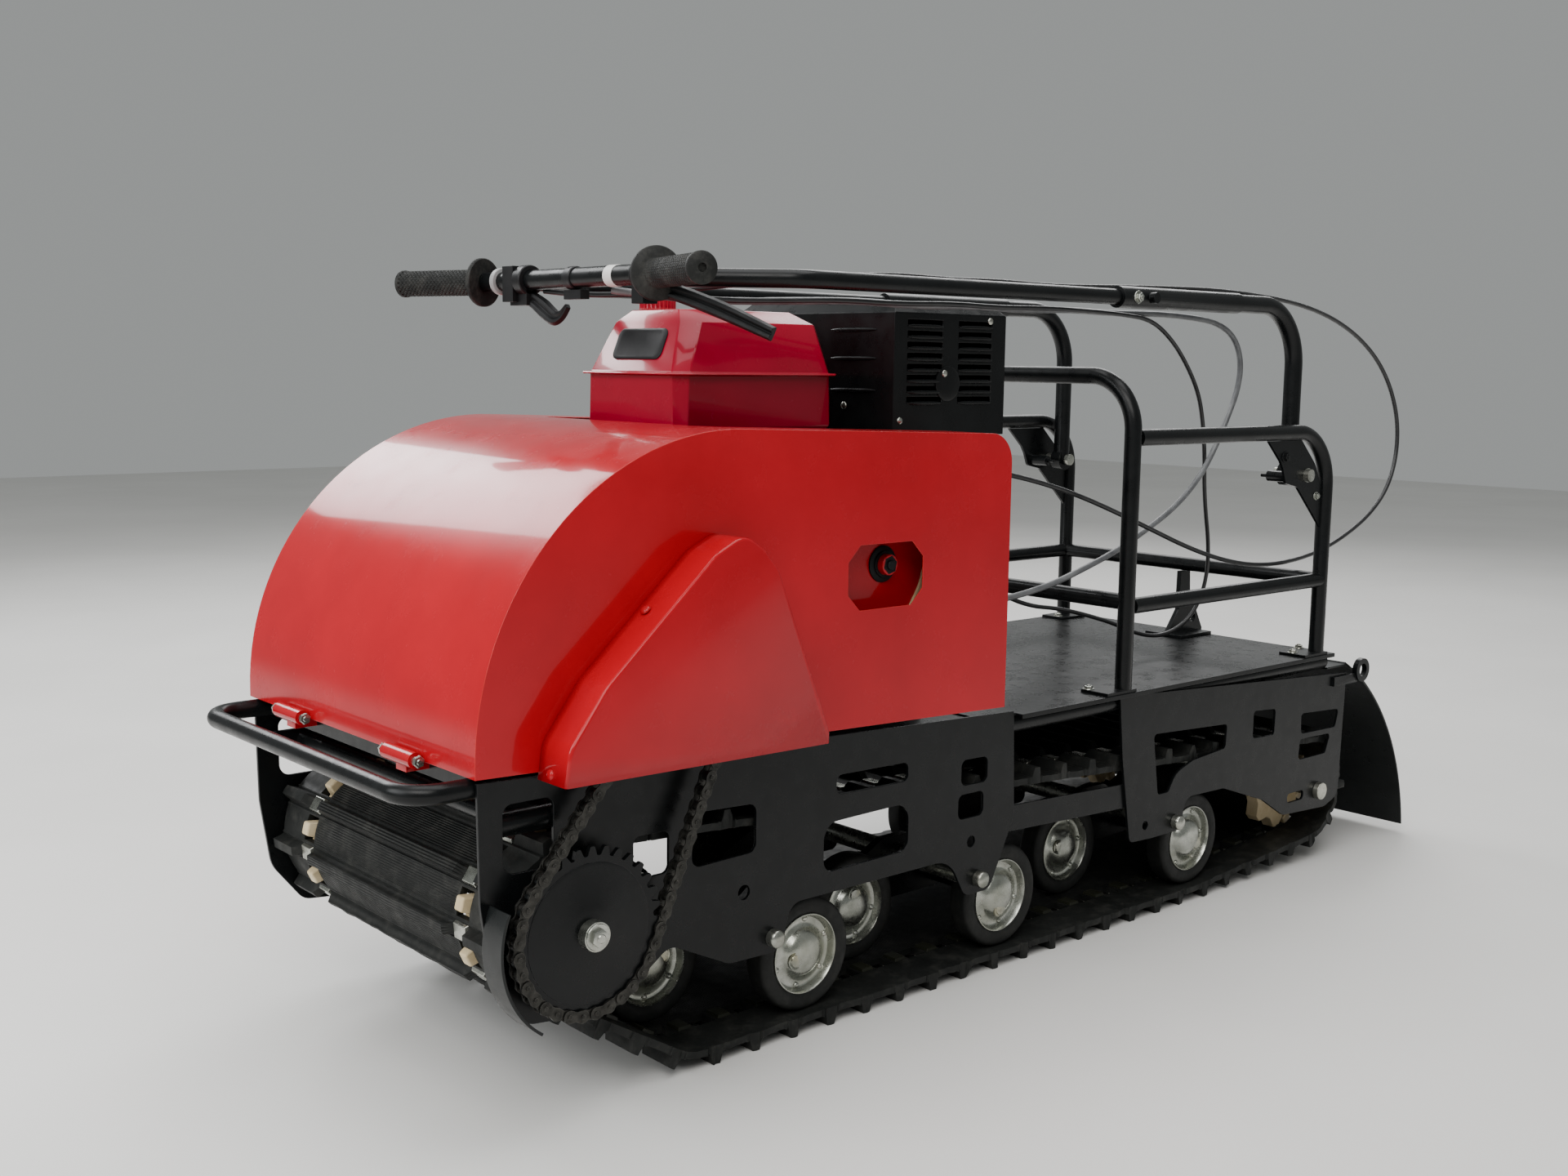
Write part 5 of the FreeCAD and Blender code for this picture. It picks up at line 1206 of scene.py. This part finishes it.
def makeGrips():
    # A sleeve of places along it and radii round it: a plain flange, a knurled stretch and a plain
    # end. The knurls follow the smaller of two crossed waves, |sin(n a + k s)| and |sin(n a - k s)|.
    look = bar
    length = look["grip"]
    turn = np.linspace(0, 2 * math.pi, 156, endpoint=False)
    along = np.linspace(16, length + 2, 100)
    waves = [np.abs(np.sin(look["knurls"] / 2 * turn + slant * along[:, None])) for slant in (0.55, -0.55)]
    sleeve = look["gripRadius"] - 1.5 + 1.5 * np.clip(np.minimum(*waves) * 2.0, 0, 1)
    flange, tail = (np.array(look[key], dtype=float) for key in ("flange", "tail"))
    plain = np.ones(len(turn))
    radius = np.concatenate([flange[:, :1] * plain, sleeve, tail[:, :1] * plain])
    place = np.concatenate([flange[:, 1], along, tail[:, 1] + length])
    sweep = math.radians(look["sweep"])
    grips = []
    for sign in (1, -1):
        ahead = np.array([math.sin(sweep), sign * math.cos(sweep), 0])
        beside = np.array([math.cos(sweep), -sign * math.sin(sweep), 0])
        centre = (look["place"], sign * look["half"], look["level"]) + place[:, None] * ahead
        ring = beside * np.cos(turn)[:, None] + np.array(upwards) * np.sin(turn)[:, None]
        verts = (centre[:, None] + radius[..., None] * ring[None]).reshape(-1, 3)
        grips.append((verts, capped(len(place), len(turn))))
    newPiece("knurledGrips", joinParts(grips), "gripRubber", body="bar", smooth=45,
             replaces=("grips",))


def ringOnBar(low, high, radius, edge=1.0, bore=10.9):
    profile = [(bore, low), (radius - edge, low), (radius, low + edge)]
    profile += [(radius, high - edge), (radius - edge, high), (bore, high)]
    return standAlong(lathe(profile, 40, ring=True), leftwards, (bar["place"], 0, bar["level"]))


# The section of a blade as shares of its width and thickness, with its middle pressed in.
bladeSection = [
    (-0.5, -0.35), (-0.36, 0.5), (-0.16, 0.5), (0, 0.12), (0.16, 0.5), (0.36, 0.5), (0.5, -0.35),
    (0.36, -0.5), (-0.36, -0.5),
]


def bladeAlong(points, widths, thickness):
    # A flat bar whose middle line is a smooth curve near the points.
    points = np.asarray(points, dtype=float)
    knots = np.arange(len(points))
    share = np.linspace(0, len(points) - 1, 40)
    spots = [np.interp(share, knots, part) for part in points.T]
    soft = stacked(*(np.convolve(np.pad(part, 3, mode="edge"), np.ones(7) / 7, "valid") for part in spots))
    width = np.interp(share, knots, widths)
    along = np.gradient(soft, axis=0)
    along /= np.linalg.norm(along, axis=1)[:, None]
    flat = np.cross(along, (1.0, 0, 0.25))
    flat /= np.linalg.norm(flat, axis=1)[:, None]
    thick = np.cross(flat, along)
    verts = [soft + flat * (width * a)[:, None] + thick * (thickness * b) for a, b in bladeSection]
    return np.stack(verts, 1).reshape(-1, 3), capped(len(share), len(bladeSection))


def makeControls():
    look = bar
    place, level, half = look["place"], look["level"], look["half"]
    lever = bladeAlong([(place - 3, half - 16, level - 16), (place - 9, half + 7, level - 17),
                        (place - 14, half + 27, level - 20), (place - 27, half + 82, level - 38),
                        (place - 44, half + 144, level - 63)], [10, 15, 18, 18, 15], 8.0)
    clamp = ringOnBar(half - 22, half - 8, 16)
    body = boxPart((place - 9, half - 24, level - 30), (place + 10, half - 4, level - 10))
    newPiece("brakeBlade", joinParts([lever, clamp, body]), "blackMatt", body="bar", bevel=1.2,
             replaces=("brake_lever",))
    paddle = bladeAlong([(place, -98, level - 18), (place - 1, -72, level - 20), (place - 3, -50, level - 32),
                         (place - 5, -32, level - 43), (place - 6, -18, level - 40),
                         (place - 7, -6, level - 28)], [12, 18, 22, 19, 13, 7], 6.0)
    collar = ringOnBar(-86, -70, 17)
    stub = boxPart((place - 7, -104, level - 28), (place + 7, -70, level - 10))
    newPiece("throttlePaddle", joinParts([paddle, collar, stub]), "blackPlastic", body="bar",
             bevel=1.0, replaces=("throttle_lever",))
    ring = ringOnBar(-half + 22.5, -half + 30, 15.5)
    newPiece("barRings", ring, "greyPlastic", body="bar")
    newPiece("barTape", ringOnBar(84, 99, 11.5, 0.3), "whiteTape", body="bar")
    block = boxPart((place - 7, 2, level - 23), (place + 5, 34, level - 13))
    adaptor = joinParts([ringOnBar(8, 22, 12.6), block])
    newPiece("cableAdaptor", adaptor, "blackPlastic", body="bar", bevel=1.2)


makeGrips()
makeControls()
print("handlebar fittings made")


# Small trim: the pins of the hood hinges.

trim = {
    "place": 834.3, "level": 361.0, "middle": 122.0, "pinHalf": 33.0, "pinRadius": 4.2, "head": (6.2, 4.5),
}


def makeTrim():
    look = trim
    pins = []
    for sign in (1, -1):
        across = [sign * look["middle"] + way * look["pinHalf"] for way in (-1, 1)]
        ends = [(look["place"], y, look["level"]) for y in across]
        pins.append(tubeAlong(ends, look["pinRadius"], 16))
        for way, spot in zip((rightwards, leftwards), ends):
            pins.append(standAlong(hexHead(*look["head"], None), way, spot))
    newPiece("hingePins", joinParts(pins), "zincPlate")


makeTrim()
print("trim made")


# Floor and lights.

def makeStage():
    span = 9.0
    verts = [(-span, -span, 0), (span, -span, 0), (span, span, 0), (-span, span, 0)]
    mesh = bpy.data.meshes.new("floor")
    mesh.from_pydata(verts, [], [(0, 1, 2, 3)])
    mesh.materials.append(makeFloor())
    placed("floor", mesh)


lights = {
    "keyLight": {"place": (2.7, 2.2, 3.3), "size": (3.2, 2.2), "power": 125.0, "colour": (1.0, 0.985, 0.96)},
    "frontLight": {"place": (3.6, -0.6, 2.1), "size": (2.4, 1.8), "power": 85.0, "colour": (0.97, 0.99, 1.0)},
    "rearLight": {"place": (-3.0, -2.2, 3.0), "size": (3.0, 2.2), "power": 85.0, "colour": (1.0, 1.0, 1.0)},
    "windowLight": {"place": (0.5, -3.4, 2.5), "size": (1.7, 1.0), "power": 62.0, "colour": (0.98, 0.99, 1.0)},
    "topLight": {"place": (0.2, 0.2, 3.8), "size": (3.4, 2.6), "power": 95.0, "colour": (1.0, 1.0, 1.0)},
}


def makeLights():
    target = Vector((0.0, 0.0, 0.40))
    for name, settings in lights.items():
        lamp = bpy.data.lights.new(name, "AREA")
        lamp.shape = "RECTANGLE"
        lamp.size, lamp.size_y = settings["size"]
        lamp.energy = settings["power"]
        lamp.color = settings["colour"]
        holder = placed(name, lamp)
        holder.location = settings["place"]
        holder.rotation_mode = "QUATERNION"
        holder.rotation_quaternion = (target - holder.location).to_track_quat("-Z", "Y")
    world = bpy.data.worlds.new("studio")
    bpy.context.scene.world = world
    world.use_nodes = True
    sky = world.node_tree.nodes["Background"]
    sky.inputs["Color"].default_value = (0.80, 0.83, 0.82, 1.0)
    sky.inputs["Strength"].default_value = 0.40


makeStage()
makeLights()
print("stage and lights made")
